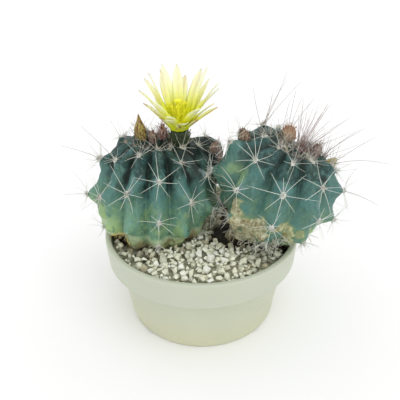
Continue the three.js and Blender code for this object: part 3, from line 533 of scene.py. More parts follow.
RIGHT = Stem(
    key="right",
    centre=(63, -13, 121.5),
    lean=(12, 10.5),
    radius=43.5,
    top_height=42,
    bottom_depth=53,
    low_fullness=1.2,
    ribs=9,
    first_rib=-12.4,
    rib_depth=10,
    crown_dip=5,
    nose=5.5,
    swellings=(
        (-102, 30, 9, 38),
        (126, 66, -13, 27),
        (-104, 54, -4, 21),
        (-40, -36, 5, 18),
        (-84, 4, 3.5, 14),
    ),
    rows=(80, 60, 29, -3, -31),
    rib_shift=(0, 10, -6, -10, 4, 9, -4, 6, 16),
    ripeness=0.47,
    furrow_darkness=0.62,
    nose_highlight=0.3,
    crown_wool=0.9,
    seed=9,
)

STEMS = (LEFT, RIGHT)

HIGH_FULLNESS = 0.75
RIB_SHARPNESS = 1.5
LOW_FURROW = 0.35
NOSE_WIDTH = 6.4
NOSE_SPREAD = 7.2
BURIED_BELOW = 77.5
LIP_DEPTH = 22

# Old cork on the right stem: azimuth, latitude, radius and how far it stands out.
CORK = (
    (-52, -3, 5, 2.4),
    (-50, -8, 5, 2),
    (-46, -18, 8, 4),
    (-34, -20, 8, 4),
    (-52, -28, 7, 2.6),
    (-40, -32, 7, 3),
    (-26, -14, 7, 2.4),
    (-18, -10, 6, 1.6),
    (-8, -8, 6, 1.4),
    (2, -10, 5, 1.4),
    (12, -16, 5, 1.4),
    (22, -14, 4, 1.2),
    (36, -10, 3.4, 0.8),
    (16, -26, 5, 1.4),
    (-44, -37, 7, 3),
    (-31, -30, 7, 3),
    (-20, -22, 6, 2),
)

# Rusty stains on the cork: azimuth, latitude and radius.
RUST = ((-55, -30, 5), (-7, -10, 4), (-3, -5, 3.4), (10, -20, 3.5))

# Painted shade on the left stem's skin close to the right one: azimuth, latitude and radius.
SHADED = ((106, 22, 26), (112, 44, 18), (84, 58, 15), (62, 66, 12), (62, 40, 12))

# Skin that is bleached to a yellowish green, with some low spots lightened as painted light against the shade
# under the stem: azimuth, latitude and spread in degrees.
PALE = {
    "left": ((-58, -22, 26), (-20, -46, 26), (5, -35, 16), (6, -52, 24), (30, -52, 22), (-95, -10, 20)),
    "right": ((62, -34, 22), (38, -46, 24), (-70, 20, 14), (100, -20, 18)),
}

# Areoles that have lost their wool and spines: stem, rib and row.
BARE_AREOLES = (("left", 11, 3), ("left", 12, 3), ("left", 1, 3))

# A scar with a corky edge on the left stem: azimuth, latitude and radius.
SCAR = (-43, -38, 8)


def outward(azimuth, latitude):
    """The direction away from a stem's axis and centre."""
    azimuth, latitude = np.radians(azimuth), np.radians(latitude)
    across = np.cos(latitude)
    return np.stack([across * np.sin(azimuth), -across * np.cos(azimuth), np.sin(latitude)], -1)


def apart_squared(azimuth, latitude, spot_azimuth, spot_latitude):
    """The square of how many degrees lie between points and a spot of a stem."""
    turn = (azimuth - spot_azimuth + 180) % 360 - 180
    return (turn * np.cos(np.radians(latitude))) ** 2 + (latitude - spot_latitude) ** 2


def shifted(stem, row, azimuth):
    """Where a latitude row lies at an azimuth, since each rib shifts its own areoles up or down."""
    along = (np.asarray(azimuth, float) - stem.first_rib) * stem.ribs / 360
    rib = np.floor(along).astype(int)
    shift = np.array(stem.rib_shift, float)
    eased = smooth(along - rib, 0, 1)
    mixed = shift[rib % stem.ribs] * (1 - eased) + shift[(rib + 1) % stem.ribs] * eased
    return row + mixed * np.minimum(1, (90 - np.abs(row)) / 35)


def furrow_share(stem, azimuth, latitude):
    """How deep in a furrow a point lies, from 0 on the crest to 1, and its degrees from the crest."""
    step = 360 / stem.ribs
    from_crest = (azimuth - stem.first_rib + step / 2) % step - step / 2
    depth = np.cos(np.radians(latitude)) ** 0.7 * np.abs(2 * from_crest / step) ** RIB_SHARPNESS
    return depth * (LOW_FURROW + (1 - LOW_FURROW) * smooth(latitude, -50, 15)), from_crest


def skin(stem, azimuth, latitude, near):
    """Points of a stem's skin. near is how close each lies to its rib's areole, from 0 to 1."""
    azimuth, latitude, near = np.broadcast_arrays(
        np.asarray(azimuth, float), np.asarray(latitude, float), np.asarray(near, float)
    )
    furrow, from_crest = furrow_share(stem, azimuth, latitude)
    cosine, sine = np.cos(np.radians(latitude)), np.sin(np.radians(latitude))
    sideways = np.radians(from_crest) * stem.radius * cosine
    nose = stem.nose * near * np.exp(-((sideways / NOSE_WIDTH) ** 2))
    nose = nose * (0.45 + 0.55 * cosine) * (0.4 + 0.6 * smooth(latitude, -35, -10))
    crest = stem.radius * cosine ** np.where(latitude > 0, HIGH_FULLNESS, stem.low_fullness)
    radius = crest - stem.rib_depth * furrow + nose * cosine
    half = np.where(sine > 0, stem.top_height, stem.bottom_depth) + nose
    height = half * sine - stem.crown_dip * smooth(latitude, 58, 90)
    heading = np.radians(azimuth)
    swell = 0
    for *spot, rise, spread in stem.swellings:
        swell = swell + rise * np.exp(-apart_squared(azimuth, latitude, *spot) / spread**2)
    points = np.stack([radius * np.sin(heading), -radius * np.cos(heading), height], -1)
    return points + outward(azimuth, latitude) * swell[..., None]


def nearness(stem, row):
    """How close a latitude row lies to a row of areoles, from 0 to 1."""
    apart = (np.asarray(row, float)[..., None] - np.array(stem.rows)) / NOSE_SPREAD
    return np.exp(-(apart**2)).max(-1)


def areoles(stem):
    """Every areole above the bed that carries wool and spines, as arrays in the part's frame."""
    rib, row = (part.ravel() for part in np.indices((stem.ribs, len(stem.rows))))
    azimuth = stem.first_rib + rib * 360 / stem.ribs
    latitude = shifted(stem, np.array(stem.rows, float)[row], azimuth)
    out = outward(azimuth, latitude)
    side = level(np.radians(azimuth))
    found = {
        "rib": rib,
        "row": row,
        "place": stem.world(skin(stem, azimuth, latitude, 1)),
        "out": stem.turn(out),
        "side": stem.turn(side),
        "up": stem.turn(np.cross(out, side)),
    }
    keep = found["place"][:, 2] > BURIED_BELOW
    for key, bare_rib, bare_row in BARE_AREOLES:
        keep &= (key != stem.key) | (rib != bare_rib) | (row != bare_row)
    return {key: values[keep] for key, values in found.items()}


def press_on_rim(points, pot):
    """Keeps skin out of the pot's lip, as flesh that lies on it does."""
    lip_inside = millimetres(pot.rim_radius - pot.lip) - 1
    lip_outside = millimetres(pot.rim_radius) + 0.5
    lip_top = millimetres(pot.height) + 0.3
    reach = np.hypot(points[:, 0], points[:, 1])
    depth = lip_top - points[:, 2]
    inside = (reach > lip_inside) & (reach < lip_outside) & (depth > 0) & (depth < LIP_DEPTH)
    shallow = inside & (depth < reach - lip_inside)
    points[shallow, 2] = lip_top
    deep = inside & ~shallow
    points[deep, :2] *= (lip_inside / reach[deep])[:, None]
    return points


# The pot

COLLAR_DEPTH = 22.5
WALL = 3.6
FLOOR = 4.5
FOOT_INSET = 18
SHOULDER_INSET = 9.5
SHARP_EDGE = 50

DRAIN_RING = (35, 49)
DRAIN_DEPTH = 1.6
DRAIN_SIDES = 120
DRAIN_HOLES = 6
DRAIN_HOLE_RADIUS = 4
DRAIN_HOLE_SIDES = 28
CHANNELS = 4
CHANNEL_WIDTH = 7
CHANNEL_ENDS = (45, 72)


def pot_material(pot):
    """Pale sage plastic, a little warmer towards the foot, with a fine moulded grain and faint scuffs."""
    finish = Finish("sage_plastic", roughness=0.42, ior=1.46)
    height = finish.node("ShaderNodeSeparateXYZ", {0: finish.place()}, 2)
    finish.colour(
        pot.foot_colour,
        (finish.ramp(height, 0.0, 0.06), pot.colour),
        (finish.ramp(finish.noise(26, 2), 0.35, 0.75, 0, 0.35), srgb(186, 192, 170)),
        (finish.ramp(finish.noise(1.2, 5, 0.7), 0.6, 0.78, 0, 0.3), srgb(222, 224, 210)),
    )
    scuffs = finish.noise(9, 4, 0.6, (1, 1, 5))
    finish.roughness(finish.ramp(scuffs, 0.35, 0.7, 0.36, 0.52))
    finish.bump(finish.noise(0.8, 2), 0.02)
    return finish.material


def build_pot(pot):
    """The pot with its collar, rounded lip, and the drain groove, channels and holes underneath."""
    rim, height, lip = (millimetres(length) for length in (pot.rim_radius, pot.height, pot.lip))
    collar = height - COLLAR_DEPTH
    foot, shoulder = rim - FOOT_INSET, rim - SHOULDER_INSET
    corners = (
        (0, 0, 0),
        (foot, 0, 2.6),
        (shoulder, collar + 1, 0.9),
        (rim - 1.5, collar, 1.4),
        (rim, height, 2),
        (rim - lip, height, 2),
        (rim - lip - 0.6, collar + 6, 2.5),
        (shoulder - WALL, collar - 2, 2.5),
        (foot - WALL, FLOOR, 3),
        (0, FLOOR, 0),
    )
    shape = Shape()
    shape.add(*turned(rounded(corners, 7), pot.sides))
    blank = bpy.data.objects.new("pot_blank", shape.mesh("pot_blank"))
    cutter = bpy.data.objects.new("drain_cutter", drain_cutter())
    for piece in (blank, cutter):
        bpy.context.scene.collection.objects.link(piece)
    cut = blank.modifiers.new("drain", "BOOLEAN")
    cut.object = cutter
    cut.solver = "EXACT"
    cut.use_self = True
    mesh = bpy.data.meshes.new_from_object(blank.evaluated_get(bpy.context.evaluated_depsgraph_get()))
    mesh.name = "pot_shell"
    for piece in (blank, cutter):
        bpy.data.objects.remove(piece)
    add_piece(mesh, pot_material(pot), "pot")
    mesh.set_sharp_from_angle(angle=math.radians(SHARP_EDGE))


def drain_cutter():
    """What is cut from the pot's underside: a ring groove, channels out of it, and holes into the soil."""
    inner, outer = DRAIN_RING
    section = ((inner, -1), (outer, -1), (outer, DRAIN_DEPTH), (inner, DRAIN_DEPTH))
    count = len(section)
    shape = Shape()
    shape.add(rings(section, DRAIN_SIDES), grid_faces(count + 1, DRAIN_SIDES) % (count * DRAIN_SIDES))
    hole = turned([(0, -2), (DRAIN_HOLE_RADIUS, -2), (DRAIN_HOLE_RADIUS, 9), (0, 9)], DRAIN_HOLE_SIDES)
    for turn in np.arange(DRAIN_HOLES) * FULL_TURN / DRAIN_HOLES:
        shape.add(hole[0] + level(turn) * (inner + outer) / 2, hole[1])
    start, end = CHANNEL_ENDS
    half = CHANNEL_WIDTH / 2
    outline = ((start, -half), (end, -half), (end, half), (start, half))
    box = np.array([(*corner, height) for height in (-1.5, DRAIN_DEPTH) for corner in outline])
    for turn in (np.arange(CHANNELS) + 0.5) * FULL_TURN / CHANNELS:
        shape.add(turned_by(box, turn), tube_faces(2, len(outline)))
    return shape.mesh("drain_cutter")


# The soil and the grit

SOIL_TOP = 69.6
SOIL_SIDES, SOIL_RINGS = 200, 74
BARK_SHARE = 0.14
ROOTS_FROM, ROOTS_REACH = 10, 66
LARGE_SHARE = 0.8
STONE_TRIES = 4
SMALL_STONES = (0.42, 0.55)
LARGE_STONES = (0.75, 0.9, 1.05, 1.2, 1.4)
PLAIN_STONES_BELOW = 72.4

# Where the soil stays bare of stones, between the stems and close under their feet; its dark soil there also
# stands in as painted shade: a place on the bed and how far round it.
BARE_SOIL = (
    (14, -9, 8),
    (18, 2, 8),
    (25, 14, 9),
    (22, 28, 9),
    (18, 46, 10),
    (30, -16, 8),
    (37, -18, 7),
    (46, -20, 7),
    (57, -24, 6),
    (66, -26, 6),
    (19, -19, 7),
    (9, -15, 5),
    (28, -24, 5),
    (-62, -27, 4),
    (-54, -34, 4),
    (-46, -38, 3.5),
    (-37, -41, 3.5),
)


def soil_height(points):
    """The height of the soil's crumbly top, from a flat place on it."""
    radius = millimetres((SOIL_HIGH.x - SOIL_LOW.x) / 2)
    reach = np.hypot(points[..., 0], points[..., 1])
    flat = np.stack([points[..., 0], points[..., 1], np.zeros(reach.shape)], -1)
    dome = 1 - (reach / radius) ** 2
    return SOIL_TOP + dome + 0.5 * waves(flat, 7, 31) + 0.35 * waves(flat, 2.6, 32)


def bareness(points, reach=1.25):
    """How bare of stones the bed is at each point, from 1 to 0 at that many times a bare spot's radius."""
    apart = [np.hypot(points[..., 0] - x, points[..., 1] - y) / radius for x, y, radius in BARE_SOIL]
    return 1 - smooth(np.min(apart, axis=0), 0.85, reach)


def soil_material(bed):
    """Dark crumbly potting soil with paler bits of bark."""
    finish = Finish("soil_crumb", roughness=0.95)
    grain = finish.noise(1.4, 5, 0.7)
    dust = finish.math("MULTIPLY", finish.painted("dust"), finish.ramp(grain, 0.25, 0.55, 0.45, 0.95))
    finish.colour(
        srgb(34, 30, 24),
        (finish.ramp(grain, 0.35, 0.7), bed.soil_colour),
        (finish.painted("bark"), srgb(112, 96, 70)),
        (dust, srgb(178, 178, 154)),
    )
    finish.bump(finish.noise(0.9, 6, 0.75), 0.6)
    return finish.material


def build_soil(bed):
    """The block of soil, pressed down under the stems, with crumbs and bits of bark on top."""
    radius = millimetres((SOIL_HIGH.x - SOIL_LOW.x) / 2)
    bottom = millimetres(SOIL_LOW.z)
    skirt = [(57.5, bottom), (60.6, bottom + 3), (68.9, 53.5), (radius, 61.5), (radius, 68)]
    top = [(reach, SOIL_TOP) for reach in np.linspace(radius, 0.6, SOIL_RINGS)]
    points = rings(skirt + top, SOIL_SIDES)
    surface = points[len(skirt) :]
    surface[..., 2] = soil_height(surface)
    tree = tree_of("left_stem_skin", "right_stem_skin")
    for point in surface.reshape(-1, 3):
        below = Vector((point[0], point[1], ROOTS_FROM))
        hit = tree.ray_cast(below, Vector((0, 0, 1)), ROOTS_REACH)[0]
        if hit is not None:
            point[2] = min(point[2], max(hit.z - 0.5, bottom + 2))
    shape = Shape()
    dust = 1 - bareness(points.reshape(-1, 3))
    shape.add(points, tube_faces(len(points), SOIL_SIDES), bark=0.0, dust=dust)
    draw = np.random.default_rng(77)
    lumps = [chip(draw, 9) for _ in range(6)]
    for _ in range(bed.crumbs):
        turn, share = draw.uniform(0, FULL_TURN), math.sqrt(draw.uniform(0, 1))
        spot = level(turn) * share * (radius - 2)
        spot[2] = soil_height(spot[None])[0] + 0.2
        near, normal, _, apart = tree.find_nearest(Vector(spot))
        if apart < 1.2 or (Vector(spot) - near).dot(normal) < 0:
            continue
        size = draw.uniform(0.7, 1.7)
        lump, faces = draw_one(lumps, draw)
        bark = 0.9 if draw.uniform() < BARK_SHARE else draw.uniform(0, 0.35)
        dust = 0.7 * (1 - float(bareness(spot[None])[0]))
        shape.add(spun(lump, draw) * size + spot, faces, bark=bark, dust=dust)
    add_piece(shape.mesh("soil_bed"), soil_material(bed), "soil")


def chip(draw, corners, softness=0.0):
    """An angular lump of about unit radius: the hull of a few random points, with its edges worn."""
    form = bmesh.new()
    for way in unit(draw.normal(size=(corners, 3))) * draw.uniform(0.85, 1.05, (corners, 1)) * [1, 0.92, 0.8]:
        form.verts.new(way)
    hull = bmesh.ops.convex_hull(form, input=form.verts)
    loose = [item for item in hull["geom_interior"] if isinstance(item, bmesh.types.BMVert)]
    bmesh.ops.delete(form, geom=loose, context="VERTS")
    if softness:
        edges = form.edges[:]
        bmesh.ops.bevel(form, geom=edges, offset=softness, segments=1, affect="EDGES", clamp_overlap=True)
        bmesh.ops.remove_doubles(form, verts=form.verts, dist=0.015)
    bmesh.ops.recalc_face_normals(form, faces=form.faces)
    form.verts.index_update()
    points = np.array([vertex.co[:] for vertex in form.verts])
    faces = [[[vertex.index for vertex in face.verts]] for face in form.faces]
    form.free()
    return points, faces


def spun(points, draw, tip=None):
    """The points turned at random about the origin, or about +Z and tipped by about that many radians."""
    if tip is None:
        basis = np.linalg.qr(draw.normal(size=(3, 3)))[0]
        return points @ (basis if np.linalg.det(basis) > 0 else -basis)
    turn = Matrix.Rotation(draw.uniform(0, FULL_TURN), 3, "Z")
    tipped = Matrix.Rotation(draw.normal() * tip, 3, unit(draw.normal(size=3)).tolist())
    return points @ np.array(tipped @ turn).T


def draw_one(forms, draw):
    """One of the forms at random."""
    return forms[int(draw.integers(len(forms)))]


def stone_material(bed):
    """Pale chips of stone, each of its own tone, with darker and brownish ones among them and soil dust, and
    painted shade where the stems overhang.
    """
    finish = Finish("stone_chip", roughness=0.85)
    # shade holds each stone's own tone, lowered by painted shade at the back, between the stems and at the
    # sides.
    shade = finish.painted("shade")
    spots = finish.noise(1.6, 4, 0.65)
    finish.colour(
        bed.dark_stone_colour,
        (finish.ramp(shade, 0.0, 0.55), bed.stone_colour),
        (finish.ramp(shade, -0.4, 0.2, 0.8, 0), srgb(140, 142, 124)),
        (finish.ramp(shade, 0.6, 1.0), srgb(248, 250, 240)),
        (finish.painted("rust"), srgb(152, 136, 98)),
        (finish.ramp(spots, 0.52, 0.72, 0, 0.3), srgb(168, 168, 146)),
    )
    finish.bump(finish.noise(0.9, 4, 0.7), 0.22)
    return finish.material


def build_grit(bed):
    """Loose stones laid one by one on the soil, each in the lowest of a few places tried."""
    radius = millimetres((GRIT_HIGH.x - GRIT_LOW.x) / 2) - 0.3
    ceiling = millimetres(GRIT_HIGH.z)
    heap = Heap(radius)
    tree = tree_of("left_stem_skin", "right_stem_skin")
    draw = np.random.default_rng(12)
    plain = [chip(draw, 8) for _ in range(8)]
    worn = [chip(draw, 12, 0.16) for _ in range(14)]
    usual = millimetres(bed.stone_size) / 2
    small, large = usual * np.array(SMALL_STONES), usual * np.array(LARGE_STONES)
    shape = Shape()
    laid = 0
    for index in range(bed.stones):
        size = draw.choice(large if index < LARGE_SHARE * bed.stones else small)
        x, y, height = min((heap.place(size, draw) for _ in range(STONE_TRIES)), key=lambda place: place[2])
        edge = 0.9 * (math.hypot(x, y) / radius) ** 4
        if height + size * 0.6 > ceiling - edge:
            heap.close(size, x, y)
            continue
        flat = np.array([x, y])
        spot, normal, _, away = tree.find_nearest(Vector((x, y, height)))
        inside = (Vector((x, y, height)) - spot).dot(normal) < 0
        bare = float(bareness(flat)) > draw.uniform(0.3, 0.9)
        keep_off = size * 0.8 + (0.6 if x < 10 else 2.5) * draw.uniform(0, 1.2)
        if inside or bare or away < keep_off:
            heap.close(0, x, y)
            continue
        heap.settle(size, x, y, height)
        points, faces = draw_one(plain if height < PLAIN_STONES_BELOW else worn, draw)
        form = spun(points, draw, 0.5) * size * draw.uniform(0.92, 1.12, 3)
        # Stones towards the back and near the bare soil get painted shade and a brownish stain, and those far
        # to the sides painted shade from the stems above them.
        shade_and_stain = float(max(smooth(y, -26, 6), 0.8 * bareness(flat, 2.4)))
        rust = 0.7 if draw.uniform() < 0.04 + 0.12 * shade_and_stain else draw.uniform(0, 0.12 + 0.3 * shade_and_stain)
        side = float(smooth(abs(x + 4), 26, 52))
        shade = np.clip(draw.normal(0.7 - 0.35 * shade_and_stain - (0.45 if x < 0 else 0.6) * side, 0.2), -0.4, 1)
        shape.add(form + [x, y, height], faces, shade=shade, rust=rust)
        laid += 1
    if laid < bed.stones / 10:
        raise RuntimeError(f"only {laid} stones found a place")
    add_piece(shape.mesh("grit_stones"), stone_material(bed), "grit", smooth_faces=False)


class Heap:
    """The height of the ground over the bed, on a grid of small cells, as stones are laid on it."""

    cell = 0.6

    def __init__(self, radius):
        self.radius = radius
        span = int(2 * (radius + 3) / self.cell)
        self.axis = (np.arange(span) - span / 2 + 0.5) * self.cell
        flat = np.stack([*np.meshgrid(self.axis, self.axis, indexing="ij"), np.zeros((span, span))], -1)
        self.height = soil_height(flat)
        self.closed = np.full(self.height.shape, math.inf)

    def cell_at(self, value):
        """The cell that holds a place along either axis."""
        return int((value - self.axis[0]) / self.cell + 0.5)

    def under(self, size, x, y):
        """The cells under a stone, which of them it covers, and how its rounded form bows there."""
        reach = int(size / self.cell) + 1
        around = np.arange(-reach, reach + 1)
        columns, rows = ((self.cell_at(at) + around).clip(0, len(self.axis) - 1) for at in (x, y))
        apart = (self.axis[columns][:, None] - x) ** 2 + (self.axis[rows][None, :] - y) ** 2
        bow = 0.7 * np.sqrt(np.maximum(size**2 - apart, 0))
        return np.ix_(columns, rows), apart < (size * 0.85) ** 2, bow

    def place(self, size, draw):
        """A random place on the bed, with the height at which a stone would rest there."""
        turn = draw.uniform(0, FULL_TURN)
        reach = math.sqrt(draw.uniform(0, 1)) * (self.radius - size * 0.9)
        x, y = reach * math.cos(turn), reach * math.sin(turn)
        if size >= self.closed[self.cell_at(x), self.cell_at(y)]:
            return x, y, math.inf
        cells, covered, bow = self.under(size, x, y)
        return x, y, float((self.height[cells] + bow)[covered].max()) - 0.3 * size

    def close(self, size, x, y):
        """Keeps stones of that size and more from a place where one could not lie."""
        column, row = self.cell_at(x), self.cell_at(y)
        around = self.closed[column - 1 : column + 2, row - 1 : row + 2]
        around[...] = np.minimum(around, size)

    def settle(self, size, x, y, height):
        """Raises the ground to the top of a stone laid there."""
        cells, covered, bow = self.under(size, x, y)
        ground = self.height[cells]
        self.height[cells] = np.where(covered, np.maximum(ground, height + bow), ground)


# The stems

# The lowest and the highest latitude of the skin's rows of points.
SKIN_SPAN = (-84, 88)


def skin_material(settings):
    """Waxy blue-green skin: painted shade in the furrows and hollows, a pale waxy bloom with painted
    highlights along the crests and noses, bleached patches and cork.
    """
    finish = Finish("waxy_skin", specular_ior_level=0.4)
    mottle = finish.noise(3.0, 6, 0.7)
    grain = finish.noise(1.2, 6, 0.75)
    clouds = finish.noise(6, 5, 0.66, (1, 1, 0.6))
    streaks = finish.noise(1.4, 4, 0.65, (1, 1, 0.25))
    crust = finish.noise(2.2, 7, 0.75)
    patches = []
    for size, low, *shade in ((4.4, 0.52, 146, 172, 104), (3.4, 0.55, 58, 116, 112), (5.2, 0.55, 56, 88, 62)):
        spots = finish.ramp(finish.noise(size, 5, 0.66, (1, 1, 0.7)), low, low + 0.09, 0, 0.6)
        patches.append((finish.math("MULTIPLY", finish.painted("age"), spots), srgb(*shade)))
    out_of_furrow = finish.ramp(finish.painted("furrow"), 0, 0.8, 1, 0.15)
    glints = finish.math("MULTIPLY", finish.ramp(grain, 0.56, 0.7, 0, 0.4), out_of_furrow)
    bleached = finish.ragged("bleached", mottle, 0.8, 0.2, 0.9)
    broken = finish.math("MULTIPLY", bleached, finish.ramp(streaks, 0.46, 0.58, 0, 0.75))
    corky = finish.math("SUBTRACT", finish.ragged("cork", crust, 0.8, 0.35, 0.8), broken)
    fringe = finish.math("MULTIPLY", finish.ragged("cork", mottle, 0.6, 0.05, 0.5), 0.6)
    cork = finish.coated(
        srgb(128, 116, 78),
        (finish.ramp(crust, 0.36, 0.6), settings.cork_colour),
        (finish.ramp(clouds, 0.38, 0.52, 0.55, 0), srgb(166, 140, 88)),
        (finish.ramp(mottle, 0.5, 0.64, 0, 0.8), srgb(228, 230, 200)),
        (finish.ramp(grain, 0.3, 0.42, 0.7, 0), srgb(84, 66, 42)),
        (finish.math("MULTIPLY", bleached, 0.75), srgb(208, 210, 160)),
    )
    foot = finish.coated(srgb(140, 124, 88), (finish.ramp(clouds, 0.42, 0.54), srgb(188, 200, 146)))
    finish.colour(
        settings.high_colour,
        (finish.ragged("age", clouds, 1.3, 0, 1), settings.low_colour),
        (finish.ragged("crown", mottle, 0.9), settings.crown_colour),
        (finish.ramp(mottle, 0.45, 0.62, 0, 0.4), srgb(78, 132, 134)),
        (finish.ramp(clouds, 0.5, 0.68, 0, 0.55), srgb(40, 76, 62)),
        (finish.ramp(streaks, 0.52, 0.7, 0, 0.3), srgb(136, 166, 160)),
        (finish.ragged("pale", mottle, 0.9, 0.15, 0.85), settings.pale_colour),
        *patches,
        # Painted shade in the furrows, the crown's hollows and where the left stem lies close to the right
        # one.
        (finish.ragged("furrow", mottle, 0.8, 0.1, 0.9), settings.furrow_shade_colour),
        # Pale waxy bloom with painted highlights on the crests, and streaks of bloom and painted highlight
        # below them.
        (finish.ragged("crest", streaks, 0.9, 0.25, 0.85), settings.crest_bloom_and_highlight_colour),
        (finish.ragged("streak", grain, 0.8, 0.3, 0.9), srgb(176, 196, 160)),
        # A bluish painted highlight on the noses of the low areoles.
        (finish.ragged("blue", grain, 0.5, 0.25, 0.95), srgb(104, 160, 172)),
        (glints, srgb(146, 184, 172)),
        (finish.ramp(grain, 0.3, 0.44, 0.45, 0), srgb(26, 56, 46)),
        (fringe, srgb(152, 164, 104)),
        (finish.math("MAXIMUM", corky, 0), cork),
        (finish.ragged("rust", grain, 0.7, 0.4, 0.9), srgb(170, 150, 92)),
        (finish.ragged("foot", mottle, 1.3, 0.35, 1.25), foot),
        (finish.ragged("rim", grain, 0.4, 0.3, 0.6), srgb(206, 194, 122)),
        # Dark brown in the scar's dent and just above the soil, and painted shade under the right stem.
        (finish.ragged("dark", grain, 0.5, 0.3, 0.7), srgb(44, 32, 22)),
    )
    finish.roughness(finish.ramp(mottle, 0.3, 0.7, 0.38, 0.6))
    finish.bump(grain, 0.35)
    finish.bump(finish.noise(2.4, 5, 0.65, (1, 1, 2.4)), 0.5)
    finish.bump(finish.math("MULTIPLY", crust, finish.painted("cork")), 2.4)


def spots_at(stem, local, spots):
    """How near each point is to each of a stem's spots of azimuth, latitude and radius, from 0 to 1."""
    apart = [np.linalg.norm(local - skin(stem, *spot[:2], 0), axis=-1) / spot[2] for spot in spots]
    return np.exp(-1.1 * np.array(apart) ** 2)


def cork_mask(stem, local):
    """How corky each point is, and how far the cork stands out there, in the stem's own frame."""
    if stem is not RIGHT:
        return np.zeros(len(local)), np.zeros(len(local))
    shares = spots_at(stem, local, CORK)
    standing = np.array([spot[3] for spot in CORK])
    mask, height = shares.max(0), (shares * standing[:, None]).max(0)
    ragged = mask + (0.2 * waves(local, 5, 41) + 0.12 * waves(local, 2.2, 45)) * smooth(mask, 0.02, 0.3)
    mask = smooth(ragged, 0.1, 0.75)
    return mask, height + (0.7 * waves(local, 3.6, 42) + 0.4 * waves(local, 1.4, 43)) * mask


def scar_at(stem, local):
    """The raised corky edge and the dark dent of the left stem's scar, as two masks."""
    if stem is not LEFT:
        return np.zeros(len(local)), np.zeros(len(local))
    azimuth, latitude, radius = SCAR
    seat = skin(stem, azimuth, latitude, 0)
    apart = np.linalg.norm(local - seat, axis=-1) / radius + 0.1 * waves(local, 2.0, 44)
    return np.exp(-(((apart - 1.12) / 0.22) ** 2)), 1 - smooth(apart, 0.8, 1.05)


def pale_patch(stem, azimuth, latitude, local):
    """Where the skin is bleached to a yellowish green, and low spots lightened as painted light against their
    shade.
    """
    shares = [np.exp(-apart_squared(azimuth, latitude, *spot[:2]) / spot[2] ** 2) for spot in PALE[stem.key]]
    return np.clip(np.max(shares, axis=0) * (0.9 + 0.35 * waves(local, 8, 51)), 0, 1)


def wax_paint(stem, azimuth, latitude, row, near, local):
    """Masks of the waxy skin: its age, the young crown, the dark furrows, the bloom and the pale patches."""
    furrow, from_crest = furrow_share(stem, azimuth, latitude)
    sideways = np.radians(from_crest) * stem.radius * np.cos(np.radians(latitude))
    ragged = 1 + 0.35 * waves(local * [1, 1, 0.35], 3, stem.seed + 4)
    ripe = smooth(-latitude, -40, 26) * stem.ripeness
    crown = smooth(latitude + 6 * waves(local, 7, stem.seed + 6), 31, 54)

    # Painted shade darkens the furrows high up on the stem, the hollows between the crown's noses, and the
    # left stem's skin close to the right one.
    deepness = (1 - 0.8 * smooth(-latitude, -40, -6)) * stem.furrow_darkness
    hollow = np.abs(from_crest * stem.ribs / 180) ** 1.5 * 0.8 + 0.6 * (1 - near) * smooth(latitude, 62, 72)
    dark = np.maximum(smooth(furrow * ragged, 0.08, 0.7) * deepness, crown * np.clip(hollow, 0, 1))
    if stem is LEFT:
        dark = np.maximum(dark, 0.9 * spots_at(stem, local, SHADED).max(0))

    # A pale waxy bloom with painted highlights lies on the crests over each areole, and runs down below it in
    # streaks of bloom and painted highlight.
    steps = row[:, None] - np.array(stem.rows)
    over = np.where(steps >= -1, np.exp(-steps / 11), 0).max(-1)
    below = np.where(steps <= 1, np.exp(steps / 9), 0).max(-1)
    crest = np.exp(-((sideways / 3) ** 2)) * over * ragged * (1 - 0.7 * ripe) * (1 - crown)
    streak = (1 - 1.3 * np.sqrt(np.abs(sideways) / 5)) * 1.7 * below * ragged * (0.25 + 0.75 * ripe)
    # The left stem's low skin gets a band of painted light that lifts it out of the shade under the stem.
    if stem is LEFT:
        streak = streak + (smooth(-latitude, 16, 27) - 0.85 * smooth(-latitude, 27, 35)) * ragged
    # The noses of the low areoles get a bluish painted highlight.
    nose = np.sqrt(near) * np.exp(-((sideways / 7) ** 2))
    return {
        "age": ripe,
        "crown": crown,
        "furrow": dark,
        "crest": np.clip(crest, 0, 0.9),
        "streak": np.clip(streak, 0, 0.85),
        "pale": pale_patch(stem, azimuth, latitude, local) * (1 - 0.6 * furrow),
        "blue": nose * smooth(-latitude, 20, 40) * stem.nose_highlight,
    }


def foot_paint(stem, azimuth, latitude, local, world, dent):
    """Masks of the old skin near the bed: where it is bleached, rusty or brown, and where it is dark in the
    scar's dent, just above the soil, and with painted shade under the right stem.
    """
    height = world[:, 2] + 1.5 * waves(world, 6, stem.seed + 3)
    dark = dent + 0.5 * (1 - smooth(height, 75, 80))
    rust = np.zeros(len(local))
    if stem is RIGHT:
        # Painted shade on the underside of the right stem, where it overhangs the bed.
        dark = dark + 0.6 * smooth(-latitude, 35, 43) * (1 - smooth(np.abs(azimuth % 360 - 345), 35, 55))
        rust = spots_at(stem, local, RUST).max(0)
    return {
        "bleached": smooth((azimuth + 180) % 360 - 180, -24, 12),
        "rust": rust,
        "foot": 1 - smooth(height, 78, 92),
        "dark": np.clip(dark, 0, 1),
    }


